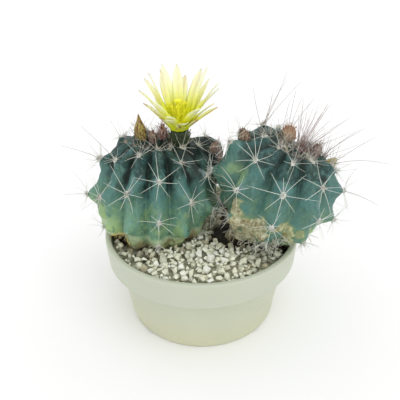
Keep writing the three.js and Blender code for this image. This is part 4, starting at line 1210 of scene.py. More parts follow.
def build_skin(stem, settings, pot):
    """A stem's whole skin from its root in the soil to its crown, with its masks painted on."""
    columns = stem.ribs * settings.columns_per_rib
    azimuth = stem.first_rib + np.arange(columns) * 360 / columns
    row = np.linspace(*SKIN_SPAN, settings.rows)[:, None]
    latitude = shifted(stem, row, azimuth)
    near = nearness(stem, row)
    local = skin(stem, azimuth, latitude, near).reshape(-1, 3)
    grid = np.broadcast_arrays(azimuth, latitude, row, near)
    azimuth, latitude, row, near = (part.ravel() for part in grid)
    cork, cork_height = cork_mask(stem, local)
    edge, dent = scar_at(stem, local)
    lumps = 0.45 * waves(local, 9, stem.seed) + 0.12 * waves(local, 2.6, stem.seed + 1)
    wrinkles = 0.35 * waves(local * [1, 1, 3.2], 5, stem.seed + 2) * smooth(latitude, -5, -40)
    relief = lumps + wrinkles + cork_height + 1.6 * edge - 2.5 * dent
    local = local + outward(azimuth, latitude) * relief[:, None]
    world = press_on_rim(stem.world(local), pot)
    paint = {
        "cork": cork,
        "rim": edge,
        **wax_paint(stem, azimuth, latitude, row, near, local),
        **foot_paint(stem, azimuth, latitude, local, world, dent),
    }
    ends = stem.world([(0, 0, -stem.bottom_depth), (0, 0, stem.top_height - stem.crown_dip)])
    paint = {key: np.append(values, [values[0], values[-1]]) for key, values in paint.items()}
    shape = Shape()
    shape.add(np.vstack([world, ends]), pointed_faces(settings.rows, columns), **paint)
    add_piece(shape.mesh(f"{stem.key}_stem_skin"), bpy.data.materials["waxy_skin"], stem.node)


# Spines and wool

SPINE_STEPS = 12
SPINE_SIDES = 5
SPINE_TRIES = 7
SPINE_TURN_UP = 9
SPINE_STEEPEST = 86
HOOKED_SHARE = 0.45
HOOK_DEGREES = (60, 130)
CENTRAL_THICKNESS = 1.15
THREAD_STEPS = 9
PAD_ROWS, PAD_SIDES = 7, 12
HAIR_STEPS, HAIR_SIDES = 7, 3
HAIRS, CROWN_HAIRS = 40, 50

# Dead threads that hang lower than this would lie in the grit, and only this share of them is kept.
THREADS_LIE_AT = 72
LOW_THREADS_KEPT = 0.3


def spine_lines(root, way, bend, length, curve, hook=0.0, steps=SPINE_STEPS):
    """Centre lines of spines that start along way and turn towards bend by curve, and at the tip by hook."""
    curve, hook, length = (np.asarray(value, float)[..., None] for value in (curve, hook, length))
    share = np.concatenate([np.linspace(0, 0.8, steps - 5), np.linspace(0.86, 1, 5)])
    angle = curve * share + hook * smooth(share, 0.8, 1.0)
    heading = way[..., None, :] * np.cos(angle)[..., None] + bend[..., None, :] * np.sin(angle)[..., None]
    pieces = np.diff(share)[:, None] * (heading[..., 1:, :] + heading[..., :-1, :]) / 2 * length[..., None]
    start = np.broadcast_to(root, heading[..., 0, :].shape)[..., None, :]
    return np.concatenate([start, start + np.cumsum(pieces, axis=-2)], axis=-2)


def lifted(flat, out, lift):
    """Directions lifted from flat towards out by so many radians, and those in which they bend further up."""
    cosine, sine = np.cos(lift)[..., None], np.sin(lift)[..., None]
    return flat * cosine + out * sine, out * cosine - flat * sine


def spine_material(spine):
    """Horn-like spines: pale when grown, grey-brown towards the crown, and red when new."""
    finish = Finish("spine_horn", roughness=0.45, ior=1.5)
    along = finish.painted("along")
    newest = finish.math("MULTIPLY", finish.painted("fresh"), finish.ramp(along, 0.2, 0.7, 1, 0.3))
    finish.colour(
        spine.colour,
        (finish.painted("young"), spine.young_colour),
        (finish.painted("straw"), srgb(196, 176, 116)),
        (newest, spine.fresh_colour),
        (finish.ramp(along, 0.7, 1, 0, 0.3), srgb(186, 172, 150)),
        (finish.ramp(finish.noise(2, 2), 0.4, 0.7, 0, 0.3), srgb(236, 238, 228)),
    )


def wool_material(spine):
    """Felted off-white wool, browner where it is old."""
    finish = Finish("areole_wool", roughness=0.95, sheen_weight=0.3)
    grain = finish.noise(0.7, 5, 0.7)
    finish.colour(
        srgb(196, 198, 184),
        (finish.ramp(grain, 0.3, 0.6), spine.wool_colour),
        (finish.painted("old"), srgb(150, 134, 104)),
    )
    finish.bump(grain, 0.3)


@dataclass(frozen=True)
class Growth:
    """The spines of one row of areoles: how many, how long, how far they stand up, and their age."""

    radials: int
    length: tuple
    lift: tuple
    centrals: int
    central_length: tuple
    central_lift: tuple
    young: float = 0.0
    fresh: float = 0.0
    thickness: float = 1.0


GROWTH = {
    "left": (
        Growth(3, (6, 10), (20, 55), 1, (10, 16), (62, 86), 0.7, 0.6, 0.65),
        Growth(7, (9, 18), (8, 30), 1, (14, 22), (50, 80), 0.3, 0.1, 0.85),
        Growth(8, (12, 24), (4, 20), 1, (12, 18), (45, 75)),
        Growth(8, (9, 19), (4, 24), 1, (10, 15), (45, 75)),
        Growth(6, (7, 12), (10, 35), 1, (8, 12), (45, 75), 0.3),
    ),
    "right": (
        Growth(3, (8, 13), (20, 55), 1, (18, 32), (55, 82), 0.8, 0.25, 0.6),
        Growth(7, (12, 21), (8, 32), 1, (22, 36), (45, 75), 0.5, 0.1, 0.8),
        Growth(8, (14, 26), (4, 20), 1, (14, 20), (45, 75)),
        Growth(8, (12, 23), (4, 22), 1, (12, 18), (45, 75)),
        Growth(9, (10, 16), (8, 45), 2, (10, 14), (30, 70), 0.2),
    ),
}

# Long single spines: stem, rib, row, direction (right, back, up), length and how far each bends down.
LONG_SPINES = (
    ("right", 2, 1, (0.95, -0.1, 0.3), 44, 34),
    ("right", 2, 1, (0.8, 0.1, 0.6), 40, 10),
    ("right", 1, 1, (0.75, -0.1, 0.66), 44, 6),
    ("right", 2, 2, (0.96, -0.2, -0.2), 30, 20),
    ("right", 0, 1, (0.3, -0.3, 0.9), 36, 4),
    ("right", 8, 1, (0.05, -0.1, 1.0), 40, 12),
    ("right", 7, 1, (-0.35, 0, 0.94), 40, -12),
    ("right", 7, 1, (0.12, 0.1, 1.0), 34, 8),
    ("right", 6, 1, (0.4, -0.1, 0.9), 46, -10),
    ("right", 6, 1, (0.6, 0.1, 0.8), 44, 8),
    ("right", 6, 1, (0.3, 0, 0.95), 40, 14),
    ("right", 5, 1, (0.05, -0.1, 0.98), 38, 6),
    ("right", 5, 1, (0.5, 0, 0.85), 36, 6),
    ("right", 4, 1, (0.4, 0, 0.9), 36, 6),
    ("right", 3, 1, (0.7, 0, 0.7), 34, 10),
    ("left", 10, 1, (-0.8, -0.1, 0.45), 34, 12),
    ("left", 11, 1, (-0.62, 0.1, 0.78), 38, 8),
    ("left", 10, 2, (-0.98, -0.1, 0.1), 20, 8),
    ("left", 2, 1, (0.7, -0.1, 0.7), 26, 20),
    ("left", 3, 2, (0.2, -0.2, 0.96), 26, 4),
)


@dataclass(frozen=True)
class Tuft:
    """A tuft of spines: its place, how many and long they are, their fan, and how red, dark and yellow."""

    stem: Stem
    azimuth: float
    latitude: float
    spines: int
    length: tuple
    fan: tuple
    width: float
    fresh: tuple = (0.7, 1)
    shade: float = 0.8
    straw: float = 0.0


TUFTS = (
    Tuft(RIGHT, 146, 79, 30, (18, 48), (-4, 66), 1.1),
    Tuft(RIGHT, 140, 79, 34, (6, 13), (-24, 40), 1.6, (0.5, 1), 0.4),
    Tuft(RIGHT, 122, 72, 26, (8, 20), (-26, 54), 1.5, (0.9, 1), 0.9),
    Tuft(LEFT, -150, 84, 14, (7, 13), (-14, 12), 2.8, (0.2, 1), 0.3),
    Tuft(LEFT, -170, 76, 18, (7, 13), (-14, 14), 3.4, (0, 1), 0.3),
    Tuft(LEFT, 150, 78, 18, (7, 14), (-12, 14), 3.2, (0, 1), 0.3),
    Tuft(LEFT, 110, 78, 10, (8, 14), (-10, 16), 2.4, (0, 1)),
    Tuft(RIGHT, 100, 48, 9, (12, 30), (10, 70), 1.8, (0.1, 0.6)),
    Tuft(RIGHT, -94, 14, 20, (12, 24), (-16, 14), 2.2, (0, 0.7)),
    Tuft(RIGHT, -168, 66, 30, (5, 13), (-50, 50), 4.2, (0, 0.1), 0.1, 0.5),
    Tuft(RIGHT, -150, 72, 30, (6, 13), (-60, 40), 4.2, (0, 0.1), 0.1, 0.5),
    Tuft(RIGHT, 160, 66, 26, (6, 15), (-30, 60), 3.6, (0, 0.3), 0.1, 0.4),
    Tuft(RIGHT, -60, 80, 24, (5, 11), (-50, 50), 4.6, (0, 0.1), 0.0, 0.4),
    Tuft(RIGHT, 40, 76, 24, (5, 12), (-30, 60), 4.6, (0, 0.3), 0.0, 0.3),
    Tuft(RIGHT, 130, 58, 26, (6, 16), (-20, 70), 3.6, (0, 0.3), 0.2, 0.2),
    Tuft(RIGHT, -120, 62, 14, (6, 16), (-50, 20), 3.2, (0, 0.2), 0.2, 0.2),
    Tuft(LEFT, -60, 72, 12, (5, 11), (-50, 40), 5, (0, 0.2), 0.1, 0.2),
    Tuft(LEFT, 40, 74, 12, (5, 11), (-40, 40), 5, (0, 0.2), 0.1, 0.2),
)


@dataclass(frozen=True)
class Tangle:
    """Dried threads: their place, its spread, how many and long, how far they fall, how yellow and dark."""

    stem: Stem
    azimuth: float
    latitude: float
    spread: tuple
    threads: int
    length: tuple
    fall: float
    straw: float
    shade: float = 0.25


TANGLES = (
    # Dark dead threads that also stand in as painted shade in the low gap between the stems.
    Tangle(RIGHT, -66, -14, (6, 9), 18, (7, 17), 0.5, 0.1, 1.1),
    Tangle(RIGHT, -48, -32, (9, 4), 26, (7, 17), 0.6, 0.3, 0.5),
    Tangle(RIGHT, -20, -31, (12, 3), 30, (7, 16), 0.4, 0.1),
    Tangle(RIGHT, 4, -26, (10, 3), 34, (6, 14), 0.3, 0.2),
    Tangle(RIGHT, -90, 0, (6, 10), 20, (7, 15), 0.2, 0.2, 0.6),
    # Dark dead threads that also stand in as painted shade in the gap between the stems.
    Tangle(LEFT, 108, 0, (8, 10), 56, (8, 18), 0.1, 0.1, 1.1),
    Tangle(LEFT, -43, -28, (9, 2), 30, (3, 7), 0.8, 1.0),
    Tangle(LEFT, 6, -44, (5, 5), 22, (4, 10), 0.7, 0.3),
    Tangle(LEFT, 60, -36, (8, 8), 20, (5, 12), 0.5, 0.3),
)


class Thicket:
    """The spines of one stem, as they grow, with the foot radius of a usual one."""

    def __init__(self, stem, radius):
        self.stem = stem
        self.radius = radius
        self.draw = np.random.default_rng(stem.seed * 7)
        flower = ("flower_tube_scaly", "flower_petals_open")
        self.tree = tree_of("left_stem_skin", "right_stem_skin", "pot_shell", *flower, *BUD_PIECES)
        self.shape = Shape()

    def add(self, line, radius, young, fresh, straw=0.0):
        """Adds one tapered spine along a line, thicker where it grows out of its areole."""
        share = np.linspace(0, 1, len(line))
        taper = radius * (1 - 0.86 * share**1.4) * (1 + 0.6 * np.exp(-share * 20))
        points, faces = tubes(line[None], taper[None], SPINE_SIDES)
        along = np.repeat(share, SPINE_SIDES)
        self.shape.add(points, faces, along=along, young=young, fresh=fresh, straw=straw)

    def varied(self, share, spread):
        """A share changed at random by up to spread."""
        return np.clip(share + self.draw.uniform(-spread, spread), 0, 1)

    def is_clear(self, line):
        """Whether a spine's line passes through none of the pieces, past its own foot."""
        for start, end in zip(line[1:], line[2:]):
            reach = Vector(end - start)
            if self.tree.ray_cast(Vector(start), reach.normalized(), reach.length + 0.4)[0] is not None:
                return False
        return True

    def grow(self, seat, growth, around, lift, length, young, hook=0, thickness=1):
        """Adds one spine, turned up in steps until it is clear, or left out where it never is."""
        place, out, side, up = seat
        flat = side * math.cos(around) + up * math.sin(around)
        curve = math.radians(self.draw.uniform(-24, 38))
        young = self.varied(young, 0.2)
        fresh = np.clip(growth.fresh + self.draw.uniform(-0.4, 0.3), 0, 1) if growth.fresh else 0
        radius = self.radius * thickness * growth.thickness * self.draw.uniform(0.85, 1.15)
        root = place + flat * 0.8 + out * 0.2
        for _ in range(SPINE_TRIES):
            way, bend = lifted(flat, out, math.radians(lift))
            line = spine_lines(root, way, bend, length, curve, hook)
            if self.is_clear(line):
                self.add(line, radius, young, fresh)
                return
            lift = min(lift + SPINE_TURN_UP, SPINE_STEEPEST)

    def areole(self, seat, growth):
        """Grows an areole's radial spines all round it, and its longer centrals."""
        draw = self.draw
        turn = draw.uniform(-0.2, 0.2)
        for number in range(growth.radials):
            around = turn + (number + draw.uniform(-0.36, 0.36)) * FULL_TURN / growth.radials
            length = draw.uniform(*growth.length) * (1.04 if math.sin(around) > -0.3 else 0.82)
            self.grow(seat, growth, around, draw.uniform(*growth.lift), length, 0.4 * growth.young)
        for _ in range(growth.centrals):
            hook = math.radians(draw.uniform(*HOOK_DEGREES)) if draw.uniform() < HOOKED_SHARE else 0
            length = draw.uniform(*growth.central_length)
            around = draw.uniform(0, FULL_TURN)
            lift = draw.uniform(*growth.central_lift)
            young = min(1.5 * growth.young, 1)
            self.grow(seat, growth, around, lift, length, young, hook, CENTRAL_THICKNESS)

    def tuft(self, tuft):
        """Adds a tuft of new spines that fans from left to right over its own spot."""
        draw = self.draw
        seat = self.stem.world(skin(self.stem, tuft.azimuth, tuft.latitude, 0))
        low, high = tuft.fan
        for index in range(tuft.spines):
            share = np.clip((index + draw.uniform(-0.4, 0.4)) / (tuft.spines - 1), 0, 1)
            tip = math.radians(low + (high - low) * share)
            way = unit([math.sin(tip), draw.uniform(-0.3, 0.3), math.cos(tip)])
            bend = unit(np.cross(way, draw.normal(size=3)))
            root = seat + [*draw.uniform(-tuft.width, tuft.width, 2), -1]
            length = draw.uniform(*tuft.length)
            line = spine_lines(root, way, bend, length, math.radians(draw.uniform(0, 14)))
            young = self.varied(tuft.shade, 0.3)
            straw = self.varied(tuft.straw, 0.3)
            self.add(line, self.radius * draw.uniform(0.7, 1.4), young, draw.uniform(*tuft.fresh), straw)

    def tangle(self, tangle):
        """Adds thin dead threads that curl away from a spot of old skin and fall towards the bed."""
        draw, stem = self.draw, self.stem
        for _ in range(tangle.threads):
            azimuth = tangle.azimuth + draw.normal() * tangle.spread[0]
            latitude = tangle.latitude + draw.normal() * tangle.spread[1]
            out = stem.turn(outward(azimuth, latitude))
            root = stem.world(skin(stem, azimuth, latitude, 0)) + out * 0.8
            way = unit(out * 0.7 + draw.normal(size=3) * 0.6 - np.array([0, 0, tangle.fall]))
            bend = unit(np.cross(way, draw.normal(size=3)))
            curve = math.radians(draw.uniform(10, 110))
            line = spine_lines(root, way, bend, draw.uniform(*tangle.length), curve, steps=THREAD_STEPS)
            if line[:, 2].min() > THREADS_LIE_AT or draw.uniform() < LOW_THREADS_KEPT:
                straw = self.varied(tangle.straw, 0.4)
                young = self.varied(tangle.shade, 0.25)
                self.add(line, self.radius * draw.uniform(0.6, 1), young, 0, straw)


def seats_of(found):
    """Each areole's row, place, and its out, side and up directions."""
    return zip(*(found[key] for key in ("row", "place", "out", "side", "up")))


def build_spines(stem, spine):
    """A stem's spines on every areole, its single long ones, its tufts and its dead threads."""
    thicket = Thicket(stem, millimetres(spine.radius))
    found = areoles(stem)
    for row, *seat in seats_of(found):
        thicket.areole(seat, GROWTH[stem.key][row])
    for key, rib, row, way, length, droop in LONG_SPINES:
        if key == stem.key:
            index = int(np.flatnonzero((found["rib"] == rib) & (found["row"] == row))[0])
            way = unit(way)
            bend = unit(np.array([0, 0, -1]) + way * way[2])
            line = spine_lines(found["place"][index], way, bend, length, math.radians(droop))
            thicket.add(line, thicket.radius, 0.9, 0.1)
    for tuft in TUFTS:
        if tuft.stem is stem:
            thicket.tuft(tuft)
    for tangle in TANGLES:
        if tangle.stem is stem:
            thicket.tangle(tangle)
    mesh = thicket.shape.mesh(f"{stem.key}_stem_spines")
    add_piece(mesh, bpy.data.materials["spine_horn"], stem.node)


def build_wool(stem, spine):
    """A felted pad on each areole, with fine hairs standing out of it, and more of it on the crown."""
    draw = np.random.default_rng(stem.seed * 3)
    shape = Shape()
    latitude = np.linspace(-0.5, math.pi / 2 - 0.05, PAD_ROWS)[:, None, None]
    around = np.linspace(0, FULL_TURN, PAD_SIDES, endpoint=False)[:, None]
    for row, place, out, side, up in seats_of(areoles(stem)):
        crown = row == 0
        old = draw.uniform(0.2, 0.7) if crown else draw.uniform(0, 0.4)
        radius = millimetres(spine.wool_radius) * draw.uniform(0.85, 1.15) * (stem.crown_wool if crown else 1)
        flat = np.cos(latitude) * (side * np.cos(around) + up * 1.4 * np.sin(around))
        dome = (flat + np.sin(latitude) * out * 0.62).reshape(-1, 3) * radius
        lump = 0.94 + 0.34 * waves(place + dome, 1.3, 61)
        shape.add(place + dome * lump[:, None], tube_faces(PAD_ROWS, PAD_SIDES), old=old)
        hairs = CROWN_HAIRS if crown else HAIRS
        angle = draw.uniform(0, FULL_TURN, hairs)[:, None]
        lift = draw.uniform(0.15, 1.4, hairs)
        way, bend = lifted(side * np.cos(angle) + up * np.sin(angle), out, lift)
        length = radius * draw.uniform(0.9, 2.4 if crown else 2.1, hairs)
        curl = draw.uniform(-0.9, 0.9, hairs)
        lines = spine_lines(place + way * radius * 0.5, way, bend, length, curl, steps=HAIR_STEPS)
        shape.add(*tubes(lines, np.linspace(0.085, 0.03, HAIR_STEPS), HAIR_SIDES), old=old)
    mesh = shape.mesh(f"{stem.key}_stem_wool")
    add_piece(mesh, bpy.data.materials["areole_wool"], stem.node)


# The flower

# The azimuth and latitude of the flower on the left stem, and how far it leans right and forward.
FLOWER_SEAT = (102, 63)
FLOWER_LEAN = (-1, 2)
TUBE = {"length": 17.5, "radius": 8.8, "sink": 4}
TUBE_SCALES = 26
CUP = {"throat": 7, "radius": 10.5, "depth": 5, "wall": 1.1, "floor": 1.4}
CUP_BASE = TUBE["length"] + 0.4
PETAL_ROWS, PETAL_COLUMNS = 16, 7
PETAL_WIDEST = 0.48
SCALE_COLUMNS = 5
STAMENS = 84
STYLE_LOBES = 9


@dataclass(frozen=True)
class PetalLayer:
    """A layer of petals: how many, their lean, size and place on the cup, and how brown their tips are."""

    count: int
    lean: float
    front_lean: float
    length: float
    width: float
    turn: float
    seat: float
    brown: float
    front_cut: float = 0.3

    @property
    def outside(self):
        """Whether the layer grows on the outside of the cup."""
        return self.seat < 0.3


PETALS = (
    PetalLayer(9, 40, 0, 9, 6.5, -66, 0.02, 0.7),
    PetalLayer(8, 54, -8, 30, 6.6, 2, 0.1, 0.8, 0.55),
    PetalLayer(11, 37, 22, 42, 7.6, -8, 0.5, 0.15),
    PetalLayer(10, 22, 34, 45, 8.2, 12, 0.85, 0.0),
)


def in_flower(points):
    """Points of the flower's own frame, which has its seat on the left crown, in the part's frame."""
    seat = skin(LEFT, *FLOWER_SEAT, 0) - outward(*FLOWER_SEAT) * TUBE["sink"]
    return np.asarray(points) @ upright(leaning(*FLOWER_LEAN)) + LEFT.world(seat)


def add_in_flower(shape, part, **paint):
    """Adds points and faces that are given in the flower's own frame."""
    points, faces = part
    shape.add(in_flower(points), faces, **paint)


def blade_ring(side_at):
    """A thin blade's points, row by row, across its upper side and back under it."""
    return np.concatenate([side_at(0.5), side_at(-0.5)[:, ::-1]], 1)


def petal_material(flower):
    """Silky petals: greenish yellow in the throat, pale along the blade, brown-red at the outer tips, and a
    painted glow of deep yellow on the undersides and the cup.
    """
    finish = Finish("petal_silk", roughness=0.5, subsurface_weight=0.12, subsurface_scale=0.003)
    along = finish.painted("along")
    brown = finish.painted("brown")
    streaks = finish.noise(1.1, 3, 0.6)
    pale = finish.math("MAXIMUM", finish.math("SUBTRACT", finish.ramp(along, 0.35, 0.85), brown), 0)
    # Painted glow: undersides and the cup take a deep yellow, for light that shines through the thin petals.
    under = finish.math("MULTIPLY", finish.painted("under"), finish.ramp(along, 0.35, 0.85, 0.75, 0))
    finish.colour(
        flower.throat_colour,
        (finish.ramp(along, 0.15, 0.6), flower.petal_colour),
        (finish.math("MULTIPLY", pale, finish.painted("pale")), srgb(255, 255, 228)),
        (finish.ramp(streaks, 0.5, 0.75, 0, 0.18), srgb(240, 244, 110)),
        (under, srgb(238, 244, 30)),
        (finish.math("MULTIPLY", brown, finish.painted("midrib")), flower.tip_colour),
    )
    finish.bump(streaks, 0.12)
    return finish.material


def add_petal(shape, layer, angle, draw):
    """One narrow pointed petal, cupped along its middle, with a wavy edge and a real thickness."""
    front = max(-math.sin(angle), 0) ** 1.5
    lean = layer.lean + 7 * math.cos(angle) + layer.front_lean * front + draw.uniform(-5, 5)
    length = layer.length * draw.uniform(0.93, 1.04) * (1 - layer.front_cut * front)
    width = layer.width * draw.uniform(0.85, 1.1)
    pale = 1 - 0.8 * front
    brown = np.clip(layer.brown + draw.uniform(-0.15, 0.25), 0, 1) * (1 if layer.outside else pale)

    # The middle line climbs out of the cup and leans further out towards the tip.
    share = np.linspace(0, 1, PETAL_ROWS)
    tilt = np.radians(lean - 10 + 16 * share**1.3 + draw.uniform(-5, 5) * share)
    step = length / (PETAL_ROWS - 1)
    from_wall = 0.4 if layer.outside else -CUP["wall"] * 0.6
    start = CUP["throat"] + (CUP["radius"] - CUP["throat"]) * layer.seat + from_wall
    reach = (start + np.concatenate([[0], np.cumsum(np.sin(tilt[1:]) * step)]))[:, None]
    base = CUP_BASE + CUP["depth"] * layer.seat
    height = (base + np.concatenate([[0], np.cumsum(np.cos(tilt[1:]) * step)]))[:, None]

    # Across it the blade is cupped, waves at its edge, and is thickest in the middle.
    share = share[:, None]
    tilt = tilt[:, None]
    narrowing = np.clip((share - PETAL_WIDEST) / (1 - PETAL_WIDEST), 0, 1) ** 1.8
    foot = 0.72 + 0.28 * np.sin(math.pi / 2 * share / PETAL_WIDEST)
    half = np.where(share < PETAL_WIDEST, foot, np.cos(math.pi / 2 * narrowing) + 0.02) * width / 2
    across = np.linspace(-1, 1, PETAL_COLUMNS)
    cup = 0.2 * width * (1 - share) * across**2 + 0.08 * width * across**2
    wave = 0.22 * np.sin(share * 9 + draw.uniform(0, 6)) * np.abs(across) ** 3 * np.sign(across)
    thick = 0.16 + 0.16 * (1 - across**2)

    def side_at(depth):
        """The points of one side, that share of the thickness above the middle."""
        lift = cup + wave + depth * thick
        return np.stack([reach - np.cos(tilt) * lift, half * across, height + np.sin(tilt) * lift], -1)

    points = turned_by(blade_ring(side_at), angle + draw.uniform(-0.12, 0.12) * share)
    faces = [face[:, ::-1] for face in tube_faces(PETAL_ROWS, 2 * PETAL_COLUMNS)]
    edge = np.abs(np.concatenate([across, across[::-1]]))
    midrib = np.clip(1 - edge * (2.2 - 1.6 * share**2), 0, 1) * smooth(share, 0.25, 0.6)
    midrib = np.maximum(midrib, smooth(share, 0.86, 0.97))
    along = np.broadcast_to(share, midrib.shape)
    # The underside is marked for the painted glow of light shining through the petal.
    under = np.tile(np.repeat([0.0, 1.0], PETAL_COLUMNS), PETAL_ROWS)
    paint = {"along": along.ravel(), "brown": brown, "midrib": midrib.ravel(), "under": under, "pale": pale}
    add_in_flower(shape, (points.reshape(-1, 3), faces), **paint)


def build_flower(flower):
    """The open flower: scaly tube, petals in four layers on a funnel, and the stamens round the style."""
    build_tube(flower)
    build_petals(flower)
    build_stamens(flower)


def build_petals(flower):
    """The cup and the layers of petals on it."""
    draw = np.random.default_rng(3)
    shape = Shape()
    throat, radius, depth, wall, floor = CUP.values()
    corners = (
        (0, CUP_BASE, 0),
        (throat, CUP_BASE, 0.8),
        (radius, CUP_BASE + depth, 0.4),
        (radius - wall, CUP_BASE + depth, 0.4),
        (throat - wall, CUP_BASE + floor, 1),
        (0, CUP_BASE + floor, 0),
    )
    # The cup is painted as an underside, so it takes the painted glow too.
    add_in_flower(shape, turned(rounded(corners), 48), along=0.0, brown=0.0, midrib=0.0, under=1.0, pale=0.0)
    for layer in PETALS:
        for index in range(layer.count):
            angle = math.radians(layer.turn + index * 360 / layer.count + draw.uniform(-6, 6))
            add_petal(shape, layer, angle, draw)
    add_piece(shape.mesh("flower_petals_open"), petal_material(flower), "flower_petals")


def build_tube(flower):
    """The green tube under the petals, wrapped in pointed scales with pale edges."""
    finish = Finish("tube_green", roughness=0.6)
    finish.colour(
        flower.tube_colour,
        (finish.painted("edge"), srgb(98, 102, 68)),
        (finish.ramp(finish.noise(1.5, 3), 0.4, 0.7, 0, 0.4), srgb(74, 92, 48)),
    )
    finish.bump(finish.noise(0.8, 3), 0.2)
    length, radius = TUBE["length"], TUBE["radius"]
    corners = (
        (0, 0, 0),
        (radius * 0.7, 0, 0.5),
        (radius, length * 0.45, 3),
        (CUP["throat"], length, 1.2),
        (0, length, 0),
    )
    shape = Shape()
    add_in_flower(shape, turned(rounded(corners, 7), 40), edge=0.0)
    for index in range(TUBE_SCALES):
        height = length * (0.3 + 0.55 * index / TUBE_SCALES)
        points, faces, edge = scale_blade(radius * 0.93, height, 5.2 - 0.05 * index, 3.2, 0.32)
        add_in_flower(shape, (turned_by(points, index * GOLDEN_ANGLE), faces), edge=edge)
    add_piece(shape.mesh("flower_tube_scaly"), finish.material, "flower_tube")


def scale_blade(radius, height, length, width, lean, rows=6):
    """Points, faces and edge mask of a small pointed scale that hugs a body and leans out at its tip."""
    share = np.linspace(0, 1, rows)[:, None]
    across = np.linspace(-1, 1, SCALE_COLUMNS)
    half = width / 2 * np.cos(math.pi / 2 * share**1.3) + 0.04
    reach = radius + length * lean * share**1.6 - 0.1 * width * across**2
    climb = height + length * share * math.cos(lean) + 0 * across
    thick = 0.3 * (1 - 0.6 * share) * (1 - 0.7 * across**2) + 0.08
    ring = blade_ring(lambda depth: np.stack([reach + depth * thick, half * across, climb], -1))
    edge = np.maximum(np.abs(np.concatenate([across, across[::-1]])) ** 3, share**2) * 0.8
    return ring.reshape(-1, 3), tube_faces(rows, 2 * SCALE_COLUMNS), edge.ravel()


def build_stamens(flower):
    """Many fine stamens round a thicker style with a star of lobes, on the low cushion of the cup."""
    finish = Finish("stamen_pollen", roughness=0.6, subsurface_weight=0.1, subsurface_scale=0.001)
    finish.colour(srgb(248, 246, 70), (finish.painted("anther"), flower.stamen_colour))
    finish.bump(finish.noise(0.5, 2), 0.1)
    draw = np.random.default_rng(8)
    shape = Shape()
    seat = CUP_BASE + 1.8
    up = np.array([0, 0, 1.0])
    cushion = rounded(((0, seat, 0), (4.4, seat, 0.4), (3.4, seat + 3.4, 1.2), (0, seat + 4.2, 0)), 5)
    add_in_flower(shape, turned(cushion, 32), anther=0.0)

    # The filaments, each with its grain of pollen.
    flat = level(draw.uniform(0, FULL_TURN, STAMENS))
    way, bend = lifted(up, flat, np.radians(draw.uniform(6, 34, STAMENS)))
    length = draw.uniform(11, 18, STAMENS)
    root = flat * 3.1 + up * (seat + 1.5)
    lines = spine_lines(root, way, bend, length, draw.uniform(-0.5, 0.3, STAMENS), steps=9)
    add_in_flower(shape, tubes(lines, 0.16, 4), anther=0.0)
    grains = lines[:, -1, None] + way[:, None] * np.array([-0.5, -0.2, 0.4, 0.9])[:, None]
    add_in_flower(shape, tubes(grains, np.array([0.2, 0.52, 0.5, 0.15]), 6), anther=1.0)

    # The style and the star of lobes on top of it.
    style = up * (seat + np.array([2, 9, 16, 20.5]))[:, None]
    add_in_flower(shape, tubes(style[None], 0.85, 10), anther=0.3)
    spoke = level(np.arange(STYLE_LOBES) * FULL_TURN / STYLE_LOBES)[:, None]
    reach, rise = np.array([0.2, 1.3, 2.6, 3.6]), seat + 20 + np.array([0, 1.1, 1.6, 1.3])
    lobes = spoke * reach[:, None] + up * rise[:, None]
    add_in_flower(shape, tubes(lobes, np.array([0.6, 0.6, 0.5, 0.2]), 6), anther=0.1)
    add_piece(shape.mesh("flower_stamens_fine"), finish.material, "flower_stamens")


# The buds

BUD_SINK = 3
BUD_RISE = 0.85
BUD_THREAD_STEPS = 8


@dataclass(frozen=True)
class Bud:
    """A bud or a withered flower on a stem, with its shape and the colours of its scales."""

    name: str
    stem: Stem
    azimuth: float
    latitude: float
    length: float
    radius: float
    lean: float
    foot: tuple
    tip: tuple
    openness: float = 0.1
    scales: int = 26
    threads: int = 0

    def world(self, points):
        """Points of the bud's own frame, which has its seat in the stem, in the part's frame."""
        out = outward(self.azimuth, self.latitude)
        seat = self.stem.world(skin(self.stem, self.azimuth, self.latitude, 0) - out * BUD_SINK)
        way = unit(self.stem.turn(out))
        aside = unit([way[0], way[1], 0]) * math.tan(math.radians(self.lean))
        wanted = unit(aside + [0, 0, 1])
        return np.asarray(points) @ upright(way * (1 - BUD_RISE) + wanted * BUD_RISE) + seat

    def core_radius(self, share):
        """The core's radius at a share of the bud's length."""
        belly = 0.62 + 0.38 * np.sin(math.pi * np.clip(share / 0.7, 0, 1))
        return self.radius * belly * (1 - smooth(share, 0.5, 1.02)) * 0.9 + 0.12


BUDS = (
    Bud("bud_tall", LEFT, -122, 73, 25, 4.8, 0, (196, 192, 96), (126, 72, 50), 0.04, 34, 10),
    Bud("bud_scaly", LEFT, -161, 80, 12.5, 3.8, 0, (226, 206, 184), (112, 34, 48), 0.16, 30, 60),
    Bud("bud_grey", LEFT, 162, 75, 17, 4.2, 0, (232, 214, 206), (124, 52, 64), 0.1, 34, 80),
    Bud("bud_side", LEFT, 108, 32, 11, 3.8, 24, (176, 162, 148), (130, 90, 84), 0.2, 24, 20),
    Bud("bud_withered", RIGHT, -178, 64, 12.5, 5.6, 0, (232, 206, 176), (170, 116, 82), 0.6, 40, 150),
    Bud("bud_woolly", RIGHT, 117, 47, 14, 4.4, 16, (214, 204, 190), (120, 92, 88), 0.5, 30, 120),
    Bud("bud_fruit", RIGHT, 106, 30, 11, 4.2, 38, (196, 194, 118), (140, 124, 74), 0.16, 24, 16),
    Bud("bud_brown", RIGHT, -104, 38, 13, 4.6, 12, (176, 152, 128), (92, 68, 54), 0.3, 34, 40),
)

BUD_PIECES = [f"{bud.name}_scaled" for bud in BUDS]


